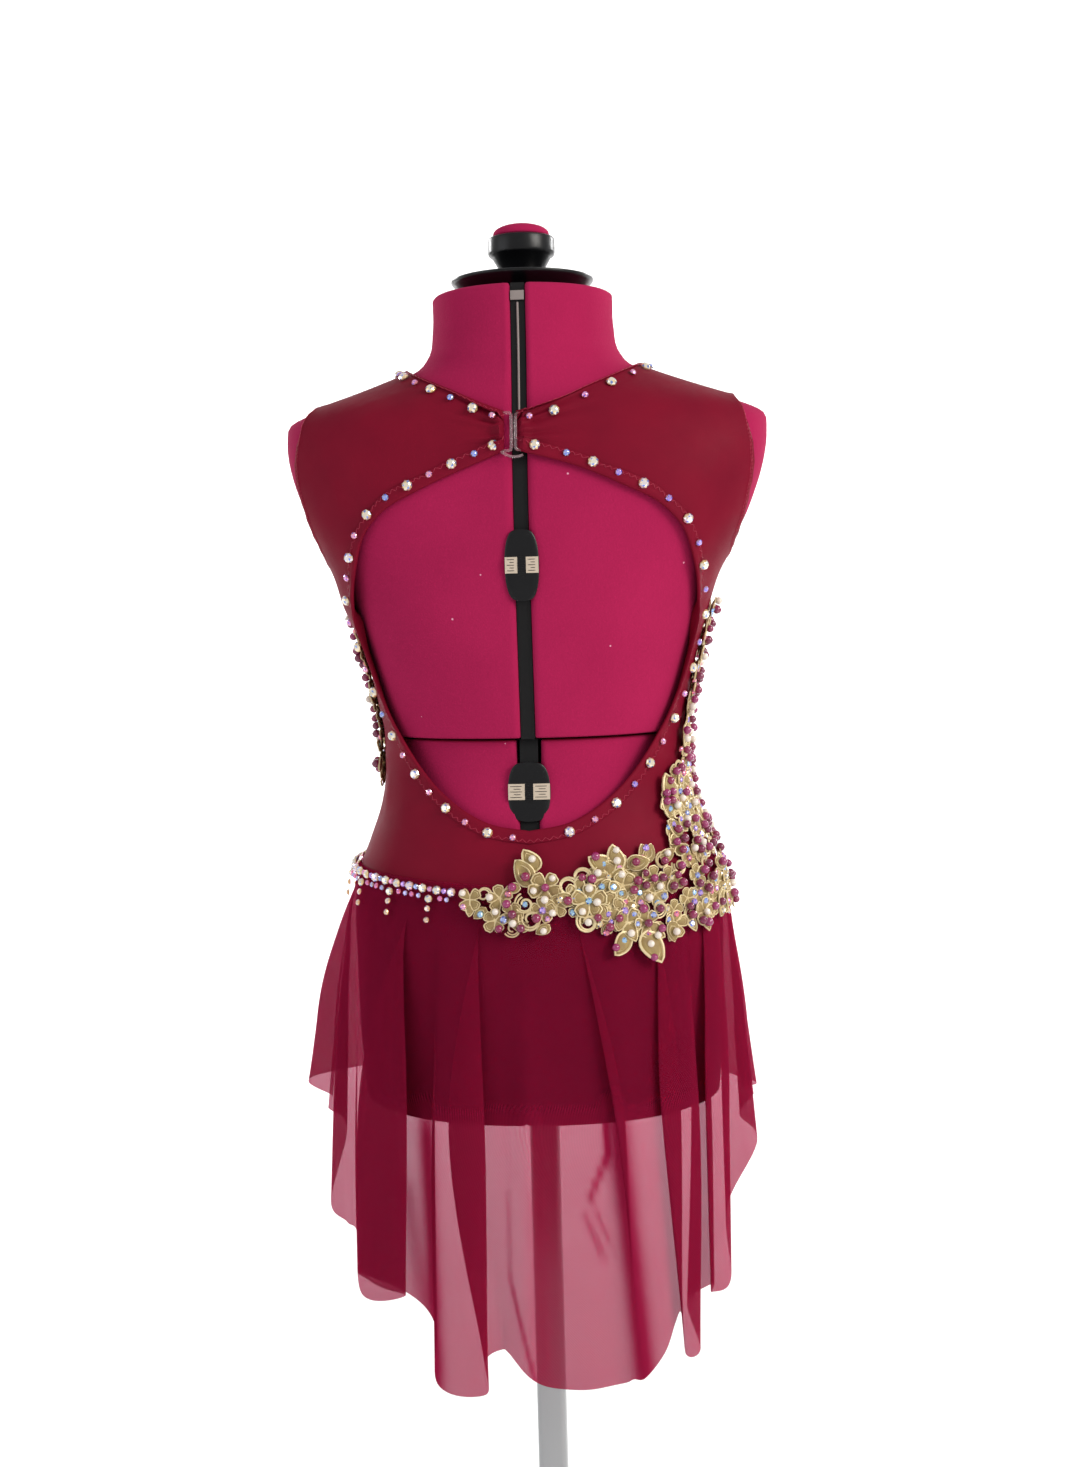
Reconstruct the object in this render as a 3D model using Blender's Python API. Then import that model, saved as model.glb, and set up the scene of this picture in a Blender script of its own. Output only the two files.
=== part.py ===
"""Lyrical dance dress worn by a limbless, adjustable dress form on a stand.

The world is in metres with +Z up, and the origin is on the floor under the pole. The back of the dress
faces -Y and the wearer's right is +X. Every size below is in millimetres and every angle in degrees; an
angle round the body is 0 at the middle of the back, 90 at the wearer's right side and 180 at the front.
"""

import math

import bpy
import numpy as np
from mathutils.bvhtree import BVHTree

MM = 0.001

# Driving sizes of the dress form
FORM_FOOT = 678.0
FORM_TOP = 1235.0
WAIST_GAP = (934.0, 936.0)
UPPER_SLOT = 5.0
LOWER_SLOT = 6.5
CORE_PLAY = 0.4
RAIL_DEPTH = 4.0
LOWER_STEP = 6.0
LOWER_STEP_FADE = 60.0
NECK_EDGE_ROUND = 3.0
WEDGE_COLUMNS = 9
HIP_LEVELS, BUST_LEVELS = 12, 24
SPINE_LEVELS = {"hip": 6, "bust": 14}
SPINE_GAP_PLAY = 0.9
FACE_GAP = 0.3

# The form's level sections, from the foot of the hips to the top of the neck
SECTION_COLUMNS = ("height", "half_width", "back_depth", "front_depth", "squareness")
FORM_SECTIONS = (
    (678.0, 122.0, 90.0, 84.0, 2.20),
    (720.0, 125.5, 93.0, 86.0, 2.20),
    (778.0, 126.5, 93.0, 86.0, 2.20),
    (820.0, 126.0, 90.0, 84.0, 2.20),
    (843.0, 122.0, 86.0, 82.0, 2.20),
    (862.0, 114.5, 82.0, 79.0, 2.20),
    (886.0, 106.0, 76.0, 76.0, 2.20),
    (914.0, 102.0, 72.5, 74.0, 2.20),
    (935.0, 102.0, 72.5, 75.0, 2.20),
    (957.0, 105.5, 74.5, 79.0, 2.20),
    (992.0, 113.0, 79.0, 88.0, 2.25),
    (1027.0, 123.0, 83.0, 94.0, 2.30),
    (1044.0, 129.0, 84.0, 94.0, 2.35),
    (1062.0, 139.0, 84.0, 92.0, 2.50),
    (1079.0, 149.0, 84.0, 89.0, 2.60),
    (1096.0, 156.0, 83.5, 85.0, 2.70),
    (1113.0, 161.5, 82.0, 79.0, 2.80),
    (1131.0, 165.0, 78.5, 71.0, 2.75),
    (1145.0, 165.5, 74.5, 66.0, 2.50),
    (1152.0, 162.5, 72.5, 64.0, 2.25),
    (1160.0, 144.5, 70.5, 62.0, 1.95),
    (1167.0, 124.0, 68.5, 60.5, 1.75),
    (1174.0, 103.5, 67.0, 59.5, 1.68),
    (1181.0, 84.5, 65.5, 59.0, 1.72),
    (1187.0, 72.5, 64.5, 59.0, 1.85),
    (1194.0, 66.5, 63.5, 59.0, 2.00),
    (1212.0, 62.5, 62.0, 59.0, 2.00),
    (1235.0, 62.0, 61.0, 59.0, 2.00),
)

# Cloth: clearance over the form, wall of each piece, and the gap kept at seams
BODICE_OFF = 2.0
BODICE_WALL = 1.0
SEAM_GAP = 0.4
PILE_GAP = 0.45
BINDING_WALL = 0.9
BINDING_WIDTH, NECK_BINDING_WIDTH = 8.5, 7.0
BINDING_EDGE = 0.15
SKIRT_WALL = 1.0
SEAM_OVERLAP = 4.0

# Hip seam, underarm and shoulder seam of the dress
SEAM_BACK = 836.5
SEAM_SIDE_RISE = 6.5
UNDERARM = 1058.0
SHOULDER_OUT = 1161.0
SHOULDER_IN = 1183.0
TRUNK_HEM = 681.0

# Right half of the keyhole edge as seen from behind, from the bottom up to the tab
KEYHOLE_COLUMNS = ("half_width", "height")
KEYHOLE = (
    (0.0, 874.3),
    (26.0, 879.0),
    (60.0, 902.0),
    (75.0, 922.0),
    (91.5, 954.0),
    (103.5, 990.0),
    (110.5, 1024.0),
    (109.5, 1053.0),
    (103.5, 1073.0),
    (90.0, 1088.0),
    (66.0, 1100.5),
    (35.0, 1113.5),
)
TAB_LOW, TAB_HIGH = 1123.4, 1148.7
TAB_END = {"left": -9.5, "right": -1.6}

# Back neckline from the shoulder seam to the tab, seen from behind
BACK_NECKLINE = ((70.0, 1176.5), (50.0, 1166.5), (22.0, 1154.0))
# Armhole edge seen from the side, from the underarm up to the shoulder seam; the front half is shallower
ARMHOLE_COLUMNS = ("depth", "height")
ARMHOLE = (
    (0.0, 1058.0),
    (15.0, 1061.0),
    (28.0, 1072.0),
    (37.0, 1090.0),
    (43.0, 1112.0),
    (46.0, 1132.0),
    (43.0, 1147.0),
    (33.0, 1155.0),
    (15.0, 1159.5),
    (0.0, 1161.0),
)
FRONT_ARMHOLE_SHARE = 0.95
# Front neckline seen from the front, from the shoulder seam to the middle
FRONT_NECKLINE = ((66.0, 1172.0), (52.0, 1158.0), (28.0, 1147.0), (0.0, 1143.5))

# Shares of the keyhole edge that face the corners of the back piece's outer edge
KEYHOLE_CORNERS = (0.0, 0.24, 0.56, 0.73, 0.87, 1.0)
BACK_COLUMNS = (6, 8, 6, 3, 5)
BACK_ROWS = 6
FRONT_CORNERS = (0.0, 0.30, 0.62, 1.0)
FRONT_COLUMNS = (5, 7, 6)
FRONT_ROWS = 8
TRUNK_COLUMNS, TRUNK_ROWS = 16, 4
KEYHOLE_LIFT = 4.0
FLANK_EASE, FLANK_HEIGHT = 5.0, 1030.0
FORM_CLEAR = 0.7
KEYHOLE_LIFT_REACH = 0.45
RELAX_ROUNDS = 60

# Skirt: a row for each turn of the cloth, in order round the body. An outer turn is a crest and an inner
# turn a tuck; where the next row's angle goes back, the cloth doubles over itself. Reaches are how far a
# turn stands out from the seam's own line at half drop and at the hem.
FOLD_COLUMNS = ("top_angle", "middle_angle", "hem_angle", "middle_reach", "hem_reach", "hem_height")
BACK_FOLDS = (
    (-90.0, -90.0, -89.5, 15.0, 24.0, 665.0),
    (-87.0, -86.5, -87.0, 6.0, 10.0, 652.0),
    (-83.0, -83.0, -83.5, 15.0, 23.0, 602.0),
    (-77.0, -78.0, -77.0, 8.0, 13.0, 592.0),
    (-71.0, -72.0, -69.0, 5.0, 9.0, 590.0),
    (-63.0, -59.5, -57.0, 15.0, 23.0, 560.0),
    (-50.5, -41.0, -39.5, 17.0, 26.0, 571.0),
    (-42.0, -63.0, -61.0, 6.0, 9.0, 566.0),
    (-39.0, -50.0, -48.0, 3.0, 4.5, 562.0),
    (-36.0, -37.0, -38.0, 4.0, 5.0, 543.0),
    (-32.0, -33.0, -31.5, 14.0, 22.0, 512.0),
    (-22.0, -16.4, -16.2, 15.0, 26.0, 510.0),
    (-17.0, -31.0, -18.5, 6.0, 13.0, 527.0),
    (-14.5, -23.0, -14.5, 3.0, 5.0, 531.0),
    (-10.5, -11.5, -11.0, 4.0, 8.0, 530.0),
    (-4.0, -3.0, -3.0, 8.0, 15.0, 517.0),
    (2.0, 3.0, 3.5, 5.0, 10.0, 508.0),
    (9.0, 12.0, 14.0, 4.0, 9.0, 506.0),
    (13.0, 24.0, 28.0, 4.0, 8.0, 507.0),
    (15.0, 31.5, 30.5, 6.0, 12.0, 511.0),
    (17.0, 27.3, 32.0, 13.0, 20.0, 515.0),
    (26.0, 32.5, 37.0, 15.0, 22.0, 531.0),
    (34.0, 38.5, 43.0, 9.0, 15.0, 546.0),
    (43.0, 52.0, 49.5, 3.0, 5.0, 546.0),
    (48.0, 41.0, 43.0, 14.0, 24.0, 528.0),
    (54.5, 53.0, 49.0, 15.0, 21.0, 527.0),
    (58.5, 57.0, 52.5, 2.0, 3.0, 552.0),
    (63.0, 63.5, 61.0, 4.0, 6.0, 560.0),
    (67.0, 57.5, 55.5, 12.0, 15.0, 560.0),
    (72.0, 67.0, 66.0, 13.0, 13.0, 562.0),
    (76.0, 72.0, 72.0, 3.0, 5.0, 606.0),
    (80.5, 79.5, 80.0, 13.0, 20.0, 647.0),
    (85.0, 85.0, 85.0, 4.0, 8.0, 661.0),
    (90.0, 90.0, 89.0, 10.0, 19.0, 673.0),
)
FRONT_FOLDS = (
    (91.0, 91.5, 92.0, 7.0, 11.0, 676.0),
    (98.0, 98.5, 98.0, 14.0, 23.0, 674.0),
    (106.0, 106.0, 106.0, 4.0, 6.0, 679.0),
    (115.0, 115.0, 115.0, 12.0, 19.0, 687.0),
    (124.0, 124.0, 124.0, 4.0, 5.0, 696.0),
    (134.0, 134.0, 135.0, 12.0, 18.0, 698.0),
    (144.0, 144.0, 144.0, 3.0, 4.0, 705.0),
    (154.0, 153.0, 153.0, 10.0, 16.0, 704.0),
    (163.0, 163.0, 163.0, 3.0, 4.0, 709.0),
    (172.0, 172.0, 171.0, 8.0, 12.0, 708.0),
    (181.0, 181.0, 181.0, 3.0, 4.0, 712.0),
    (190.0, 190.0, 191.0, 9.0, 14.0, 709.0),
    (199.0, 199.0, 199.0, 3.0, 4.0, 710.0),
    (209.0, 209.0, 208.0, 10.0, 16.0, 704.0),
    (218.0, 218.0, 218.0, 3.0, 5.0, 704.0),
    (227.0, 227.0, 227.0, 12.0, 18.0, 698.0),
    (236.0, 236.0, 236.0, 4.0, 5.0, 699.0),
    (245.0, 245.0, 245.0, 12.0, 19.0, 692.0),
    (253.5, 253.5, 253.5, 4.0, 6.0, 687.0),
    (261.5, 261.0, 261.5, 31.0, 46.0, 679.0),
    (269.0, 268.5, 268.0, 14.0, 22.0, 672.0),
)
FOLD_STEPS = 4
BACK_SKIRT_ROWS, FRONT_SKIRT_ROWS = 7, 4
SKIRT_EASE_TOP, SKIRT_EASE_HEM = 4.5, 7.0
# Below this height the skirt keeps the hips' own section instead of following the form inwards
SKIRT_SECTION_FOOT = 720.0
# The folds start at this share of the drop, and the table gives them at its top, half and foot
FOLD_START = 0.07
HALVES = (0.0, 0.5, 1.0)
ROW_CROWDING = 1.35
FULL_DROP = 330.0

# Applique patches, a row for each station along the patch: where it is and its two edges
HIP_PATCH_COLUMNS = ("angle", "low", "high")
HIP_PATCH = (
    (-23.0, 822.0, 833.0),
    (-17.0, 813.0, 838.0),
    (-6.0, 812.0, 841.0),
    (5.0, 812.0, 856.0),
    (9.0, 813.0, 862.0),
    (17.0, 816.0, 851.0),
    (27.0, 811.0, 858.0),
    (36.0, 802.0, 859.0),
    (44.0, 787.0, 853.0),
    (50.0, 797.0, 856.0),
    (60.0, 808.0, 858.0),
    (70.0, 813.0, 858.0),
    (82.0, 815.0, 858.0),
    (94.0, 818.0, 855.0),
    (104.0, 824.0, 848.0),
)
SIDE_PATCH_COLUMNS = ("height", "from_angle", "to_angle")
RIGHT_PATCH = (
    (861.0, 58.0, 98.0),
    (874.0, 54.0, 102.0),
    (888.0, 57.0, 104.0),
    (904.0, 63.0, 104.0),
    (924.0, 74.0, 108.0),
    (950.0, 79.0, 110.0),
    (978.0, 82.0, 112.0),
    (1006.0, 84.0, 112.0),
    (1030.0, 88.0, 106.0),
)
LEFT_PATCH = (
    (900.0, -108.0, -90.0),
    (918.0, -112.0, -87.0),
    (945.0, -116.0, -86.5),
    (975.0, -116.0, -87.5),
    (1003.0, -113.0, -86.0),
    (1026.0, -106.0, -87.0),
)
RAY_REACH = 40.0
PATCH_GAP, SKIRT_GAP = 0.9, 1.1
PATCH_BASE, PATCH_RELIEF = 1.0, 1.8
PETAL_PITCH = 13.0
HIP_PATCH_GRID = (34, 6)
SIDE_PATCH_GRID = (16, 5)

# Closure at the nape
HOOK_SIZE = (8.0, 25.0)
BAR_SIZE = (5.0, 24.0)
CLOSURE_WIRE, WIRE_SIDES = 1.1, 6
LOOP_CORNER = 2.0
# How far each loop lies over the end of its tab
HOOK_HOLD, BAR_HOLD = 3.15, 0.35

# Hardware of the form and its stand
CAP_PROFILE = ((1235.6, 38.0), (1243.0, 48.0), (1245.0, 49.0), (1248.0, 49.0), (1249.2, 47.5))
KNOB_PROFILE = (
    (1249.6, 15.0),
    (1258.0, 18.5),
    (1262.5, 22.0),
    (1264.0, 23.0),
    (1273.5, 23.0),
    (1275.0, 21.8),
)
CUSHION_PROFILE = ((1275.4, 19.5), (1278.4, 18.2), (1281.2, 13.5), (1283.0, 6.5))
HUB_PROFILE = ((664.0, 30.0), (668.0, 36.0), (677.6, 36.0))
BASE_PROFILE = ((0.0, 186.0), (3.0, 188.0), (7.0, 186.0), (12.0, 150.0), (15.0, 60.0))
COLLAR_INNER, COLLAR_OUTER, COLLAR_HEIGHT = 13.5, 22.0, 42.0
POLE_WIDTH, POLE_CHAMFER = 20.6, 4.0
ADJUSTERS = (
    {"name": "upper", "height": 1050.0, "width": 22.5, "length": 46.0, "tag": (7.6, 11.0)},
    {"name": "lower", "height": 900.5, "width": 26.5, "length": 39.0, "tag": (9.4, 10.0)},
)
PLATE_THICK, TAG_THICK, PLATE_RISE = 1.0, 0.5, 0.8
TAG_INSET, TAG_GAP = 1.2, 0.45
PLATE_SQUARENESS, PLATE_END_SHARE = 0.55, 0.32
PLATE_ROWS, PLATE_COLUMNS = 8, 4

# Colours, roughness and metallic value of each finish
FINISHES = {
    "bodice_jersey": ((0.18, 0.006, 0.024), 0.55, 0.0),
    "stretch_mesh": ((0.27, 0.010, 0.055), 0.60, 0.0),
    "gold_lace": ((0.72, 0.50, 0.22), 0.38, 0.6),
    "form_jersey": ((0.36, 0.012, 0.095), 0.85, 0.0),
    "black_plastic": ((0.012, 0.012, 0.014), 0.30, 0.0),
    "scale_card": ((0.68, 0.60, 0.52), 0.60, 0.0),
    "clear_plastic": ((0.75, 0.72, 0.74), 0.12, 0.0),
    "stand_steel": ((0.42, 0.42, 0.42), 0.40, 0.8),
    "base_enamel": ((0.03, 0.03, 0.032), 0.45, 0.0),
}


def through(knots, values, at):
    """Reads a smooth curve through rows of values at any places; it never overshoots a turning point."""
    knots = np.asarray(knots, float)
    values = np.asarray(values, float)
    at = np.clip(np.asarray(at, float), knots[0], knots[-1])
    steps = np.diff(knots)
    wide = values.reshape(len(knots), -1)
    secants = np.diff(wide, axis=0) / steps[:, None]
    slopes = np.empty_like(wide)
    slopes[0], slopes[-1] = secants[0], secants[-1]
    share = (steps[1:] / (steps[:-1] + steps[1:]))[:, None]
    slopes[1:-1] = share * secants[:-1] + (1.0 - share) * secants[1:]
    slopes[1:-1][secants[:-1] * secants[1:] <= 0.0] = 0.0
    span = np.clip(np.searchsorted(knots, at, side="right") - 1, 0, len(steps) - 1)
    t = ((at - knots[span]) / steps[span])[..., None]
    step = steps[span][..., None]
    first = (1 + 2 * t) * (1 - t) ** 2 * wide[span] + t * (1 - t) ** 2 * step * slopes[span]
    second = t * t * (3 - 2 * t) * wide[span + 1] + t * t * (t - 1) * step * slopes[span + 1]
    made = first + second
    return made[..., 0] if values.ndim == 1 else made


def spread(points, count):
    """Places count + 1 points evenly along a line of points."""
    return along(points, np.linspace(0.0, 1.0, count + 1))


def along(points, shares):
    """Points at the given shares of a line's length."""
    points = np.asarray(points, float)
    run = np.concatenate([[0.0], np.cumsum(np.linalg.norm(np.diff(points, axis=0), axis=1))])
    at = np.asarray(shares) * run[-1]
    return np.stack([np.interp(at, run, points[:, i]) for i in range(points.shape[1])], axis=1)


def form_at(height):
    """Half width, back depth, front depth and squareness of the form at any heights."""
    table = np.array(FORM_SECTIONS)
    return np.moveaxis(through(table[:, 0], table[:, 1:], height), -1, 0)


def form_gauge(points):
    """Is 1 on the form's skin, less inside it and more outside."""
    x, y, z = np.moveaxis(points, -1, 0)
    half, back, front, power = form_at(z)
    depth = np.where(y < 0.0, back, front)
    return ((np.abs(x) / half) ** power + (np.abs(y) / depth) ** power) ** (1.0 / power)


def form_slope(points):
    """Gradient of the gauge, by differences of a twentieth of a millimetre."""
    step = 0.05
    parts = []
    for axis in range(3):
        shift = np.zeros(3)
        shift[axis] = step
        parts.append((form_gauge(points + shift) - form_gauge(points - shift)) / (2 * step))
    return np.stack(parts, axis=-1)


def onto_form(points, steps=3):
    """Moves points onto the form's skin, square to it."""
    points = np.array(points, float)
    for _ in range(steps):
        slope = form_slope(points)
        size = np.maximum((slope**2).sum(-1, keepdims=True), 1e-9)
        move = (form_gauge(points) - 1.0)[..., None] * slope / size
        length = np.linalg.norm(move, axis=-1, keepdims=True)
        points -= move * np.minimum(1.0, 12.0 / np.maximum(length, 1e-9))
    return points


def form_normal(points):
    """Outward directions of the form's skin."""
    slope = form_slope(points)
    return slope / np.linalg.norm(slope, axis=-1, keepdims=True)


def on_section(angle, height, grow=0.0):
    """Points on the form's level sections at angles round the body, each section grown outwards."""
    angle, height = np.broadcast_arrays(np.radians(angle), np.asarray(height, float))
    half, back, front, power = form_at(height)
    side, ahead = np.sin(angle), -np.cos(angle)
    depth = np.where(ahead < 0.0, back, front) + grow
    ray = ((np.abs(side) / (half + grow)) ** power + (np.abs(ahead) / depth) ** power) ** (-1.0 / power)
    return np.stack([ray * side, ray * ahead, height], axis=-1)


def on_back(x, height):
    """Points of the form's back seen at x and a height from behind."""
    x, height = np.broadcast_arrays(np.asarray(x, float), np.asarray(height, float))
    half, back, _, power = form_at(height)
    inside = np.clip(1.0 - (np.abs(x) / half) ** power, 0.0, 1.0)
    return np.stack([x, -back * inside ** (1.0 / power), height], axis=-1)


def on_front(x, height):
    """Points of the form's front seen at x and a height from the front."""
    x, height = np.broadcast_arrays(np.asarray(x, float), np.asarray(height, float))
    half, _, front, power = form_at(height)
    inside = np.clip(1.0 - (np.abs(x) / half) ** power, 0.0, 1.0)
    return np.stack([x, front * inside ** (1.0 / power), height], axis=-1)


def on_flank(y, height):
    """Points of the form's right flank seen at y and a height from the side."""
    y, height = np.broadcast_arrays(np.asarray(y, float), np.asarray(height, float))
    half, back, front, power = form_at(height)
    depth = np.where(y < 0.0, back, front)
    inside = np.clip(1.0 - (np.abs(y) / depth) ** power, 0.0, 1.0)
    return np.stack([half * inside ** (1.0 / power), y, height], axis=-1)


def seam_height(angle):
    """Height of the hip seam round the body, a little higher at the sides."""
    return SEAM_BACK + SEAM_SIDE_RISE * np.sin(np.radians(angle)) ** 2


def between(inner, outer, rows):
    """Rows of points from an inner line to an outer line of as many points."""
    share = np.linspace(0.0, 1.0, rows + 1)[:, None, None]
    return inner[None] * (1.0 - share) + outer[None] * share


def relaxed(grid, rounds=RELAX_ROUNDS):
    """Evens the inner points of a grid that lies on the form, with its edges held."""
    grid[1:-1, 1:-1] = onto_form(grid[1:-1, 1:-1], steps=6)
    for _ in range(rounds):
        mean = (grid[:-2, 1:-1] + grid[2:, 1:-1] + grid[1:-1, :-2] + grid[1:-1, 2:]) / 4.0
        grid[1:-1, 1:-1] = onto_form(mean, steps=1)
    grid[1:-1, 1:-1] = onto_form(grid[1:-1, 1:-1], steps=2)
    return grid


def diagonal_first(grid, out):
    """Tells for each facet of a grid whether its first diagonal stands further out than its second."""
    first = grid[:-1, :-1] + grid[1:, 1:]
    second = grid[:-1, 1:] + grid[1:, :-1]
    way = out[:-1, :-1] + out[1:, 1:]
    return ((first - second) * way).sum(axis=-1) >= 0.0


def facet_samples(grid, out, steps=3):
    """Points on the two triangles of each facet, and each corner's share in them, facet by facet."""
    share = np.arange(steps + 1) / steps
    u, v = np.meshgrid(share, share)
    none = np.zeros_like(u)
    first = np.where(v <= u, [1 - u, u - v, none, v], [1 - v, none, v - u, u])
    second = np.where(u + v <= 1, [1 - u - v, u, v, none], [none, 1 - v, 1 - u, u + v - 1])
    choice = diagonal_first(grid, out)[None, :, :, None, None]
    weights = np.where(choice, first[:, None, None], second[:, None, None])
    corners = np.stack([grid[:-1, :-1], grid[:-1, 1:], grid[1:, :-1], grid[1:, 1:]])
    ways = np.stack([out[:-1, :-1], out[:-1, 1:], out[1:, :-1], out[1:, 1:]])
    samples = np.einsum("krcab,krcd->rcabd", weights, corners)
    ways = np.einsum("krcab,krcd->rcabd", weights, ways)
    return samples, ways / np.linalg.norm(ways, axis=-1, keepdims=True), weights


def over_form(samples, ways):
    """How far samples stand off the form's skin."""
    return (form_gauge(samples) - 1.0) / np.linalg.norm(form_slope(samples), axis=-1)


def over_panels(panels):
    """A reader of how far samples stand off the outer faces of (grid, normal) panels."""
    points, faces = [], []
    for grid, out in panels:
        start = len(points)
        points.extend(grid.reshape(-1, 3).tolist())
        faces.extend([tuple(start + i for i in face) for face in grid_faces(grid, out)])
    tree = BVHTree.FromPolygons(points, faces)

    def read(samples, ways):
        stand = np.full(samples.shape[:-1], RAY_REACH)
        for spot in np.ndindex(stand.shape):
            origin = samples[spot] + ways[spot] * RAY_REACH
            distance = tree.ray_cast(origin.tolist(), (-ways[spot]).tolist(), 2 * RAY_REACH)[3]
            if distance is not None:
                stand[spot] = distance - RAY_REACH
        return stand

    return read


def grid_faces(grid, out):
    """Triangles of a grid, each facet split along the diagonal that stands further out."""
    rows, columns = grid.shape[:2]
    faces = []
    for (r, c), first in np.ndenumerate(diagonal_first(grid, out)):
        a, b, d, e = r * columns + c, r * columns + c + 1, (r + 1) * columns + c, (r + 1) * columns + c + 1
        faces += [(a, b, e), (a, e, d)] if first else [(a, b, d), (b, e, d)]
    return faces


def cleared(grid, normal, readers, need, rounds=25, steps=4):
    """Moves a grid's points outwards until every facet stands off what lies under it."""
    grid = np.array(grid)
    for _ in range(rounds):
        samples, ways, weights = facet_samples(grid, normal, steps)
        stand = np.min([read(samples, ways) for read in readers], axis=0)
        lack = np.maximum(need - stand, 0.0)
        push = np.zeros(grid.shape[:2])
        parts = (lack[None] * weights).max(axis=(3, 4))
        for part, (r, c) in zip(parts, ((0, 0), (0, 1), (1, 0), (1, 1))):
            block = push[r : r + parts.shape[1], c : c + parts.shape[2]]
            np.maximum(block, part, out=block)
        grid += normal * push[..., None]
        if push.max() < 0.03:
            break
    return grid


def finish(name):
    """The Blender material of a finish, made the first time it is asked for."""
    found = bpy.data.materials.get(name)
    if found:
        return found
    colour, roughness, metallic = FINISHES[name]
    made = bpy.data.materials.new(name)
    made.use_nodes = True
    shader = made.node_tree.nodes["Principled BSDF"]
    shader.inputs["Base Color"].default_value = (*colour, 1.0)
    shader.inputs["Roughness"].default_value = roughness
    shader.inputs["Metallic"].default_value = metallic
    return made


def add_solid(name, points, faces, finish_name, smooth_below=50.0):
    """Makes one named object from points in millimetres and faces that look outwards."""
    mesh = bpy.data.meshes.new(name)
    mesh.from_pydata((np.asarray(points, float) * MM).tolist(), [], [list(map(int, f)) for f in faces])
    mesh.validate()
    mesh.materials.append(finish(finish_name))
    mesh.shade_smooth()
    mesh.set_sharp_from_angle(angle=math.radians(smooth_below))
    made = bpy.data.objects.new(name, mesh)
    bpy.context.scene.collection.objects.link(made)
    return made


def rim_faces(rows, columns):
    """Faces that close the four edges of a wall between its outer points and its inner points."""
    inner, last = rows * columns, (rows - 1) * columns
    faces = []
    for c in range(columns - 1):
        faces.append((c, inner + c, inner + c + 1, c + 1))
        faces.append((last + c, last + c + 1, inner + last + c + 1, inner + last + c))
    for r in range(rows - 1):
        a, b = r * columns, (r + 1) * columns
        faces.append((a, b, inner + b, inner + a))
        a, b = a + columns - 1, b + columns - 1
        faces.append((a, inner + a, inner + b, b))
    return faces


def add_wall(name, outer, inner, finish_name):
    """Makes a closed wall between an outer and an inner grid of points."""
    rows, columns = outer.shape[:2]
    points = np.concatenate([outer.reshape(-1, 3), inner.reshape(-1, 3)])
    faces = grid_faces(outer, outer - inner)
    size = rows * columns
    faces += [tuple(size + i for i in reversed(face)) for face in grid_faces(inner, outer - inner)]
    faces += rim_faces(rows, columns)
    middle = (rows // 2, columns // 2)
    across = outer[middle[0], middle[1] - 1] - outer[middle]
    down = outer[middle[0] - 1, middle[1]] - outer[middle]
    if np.cross(across, down) @ (outer - inner)[middle] < 0.0:
        faces = [tuple(reversed(face)) for face in faces]
    return add_solid(name, points, faces, finish_name)


def add_turned(name, profile, finish_name, sides=28):
    """Makes a closed turned solid from (height, radius) pairs, foot first."""
    turn = np.radians(np.arange(sides) * 360.0 / sides)
    rings = [[(r * math.cos(a), r * math.sin(a), z) for a in turn] for z, r in profile]
    middles = [[0, 0, profile[0][0]], [0, 0, profile[-1][0]]]
    points = np.concatenate([np.array(rings).reshape(-1, 3), middles])
    foot, head = len(points) - 2, len(points) - 1
    faces = []
    for r in range(len(profile) - 1):
        for c in range(sides):
            d = (c + 1) % sides
            faces.append((r * sides + c, r * sides + d, (r + 1) * sides + d, (r + 1) * sides + c))
    last = (len(profile) - 1) * sides
    for c in range(sides):
        d = (c + 1) % sides
        faces.append((d, c, foot))
        faces.append((last + c, last + d, head))
    return add_solid(name, points, faces, finish_name, smooth_below=35.0)


def levels(low, high, count):
    """Heights spread evenly along the form's side line, so that shoulders get as many as flanks."""
    dense = np.linspace(low, high, 400)
    half = form_at(dense)[0]
    return spread(np.stack([half, dense], axis=1), count)[:, 1]


def wedge_ring(x_side, y_side, slot, height, inset):
    """One level ring of a quarter of the form: its outer points, then its corner by the axis."""
    half, back, front, power = form_at(height)
    half = half - inset
    depth = (back if y_side < 0 else front) - inset
    y_first = depth * (1.0 - (slot / half) ** power) ** (1.0 / power)
    x_last = half * (1.0 - (slot / depth) ** power) ** (1.0 / power)
    turn = np.linspace(math.atan2(y_first, slot), math.atan2(slot, x_last), WEDGE_COLUMNS + 1)
    ray = ((np.cos(turn) / half) ** power + (np.sin(turn) / depth) ** power) ** (-1.0 / power)
    x, y = ray * np.cos(turn), ray * np.sin(turn)
    x[0], y[0], x[-1], y[-1] = slot, y_first, x_last, slot
    ring = np.stack([x * x_side, y * y_side, np.full_like(x, height)], axis=1)
    corner = [[slot * x_side, slot * y_side, height]]
    return np.concatenate([ring, corner])


def add_wedge(name, x_side, y_side, slot, heights, insets):
    """Makes a quarter of the form, from the foot ring to the head ring."""
    rings = [wedge_ring(x_side, y_side, slot, z, inset) for z, inset in zip(heights, insets)]
    size = len(rings[0])
    faces = []
    for r in range(len(rings) - 1):
        for c in range(size):
            d = (c + 1) % size
            faces.append((r * size + c, (r + 1) * size + c, (r + 1) * size + d, r * size + d))
    corner, last = size - 1, (len(rings) - 1) * size
    for c in range(size - 2):
        faces.append((corner, c, c + 1))
        faces.append((last + corner, last + c + 1, last + c))
    if x_side * y_side < 0:
        faces = [tuple(reversed(face)) for face in faces]
    return add_solid(name, np.concatenate(rings), faces, "form_jersey")


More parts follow.
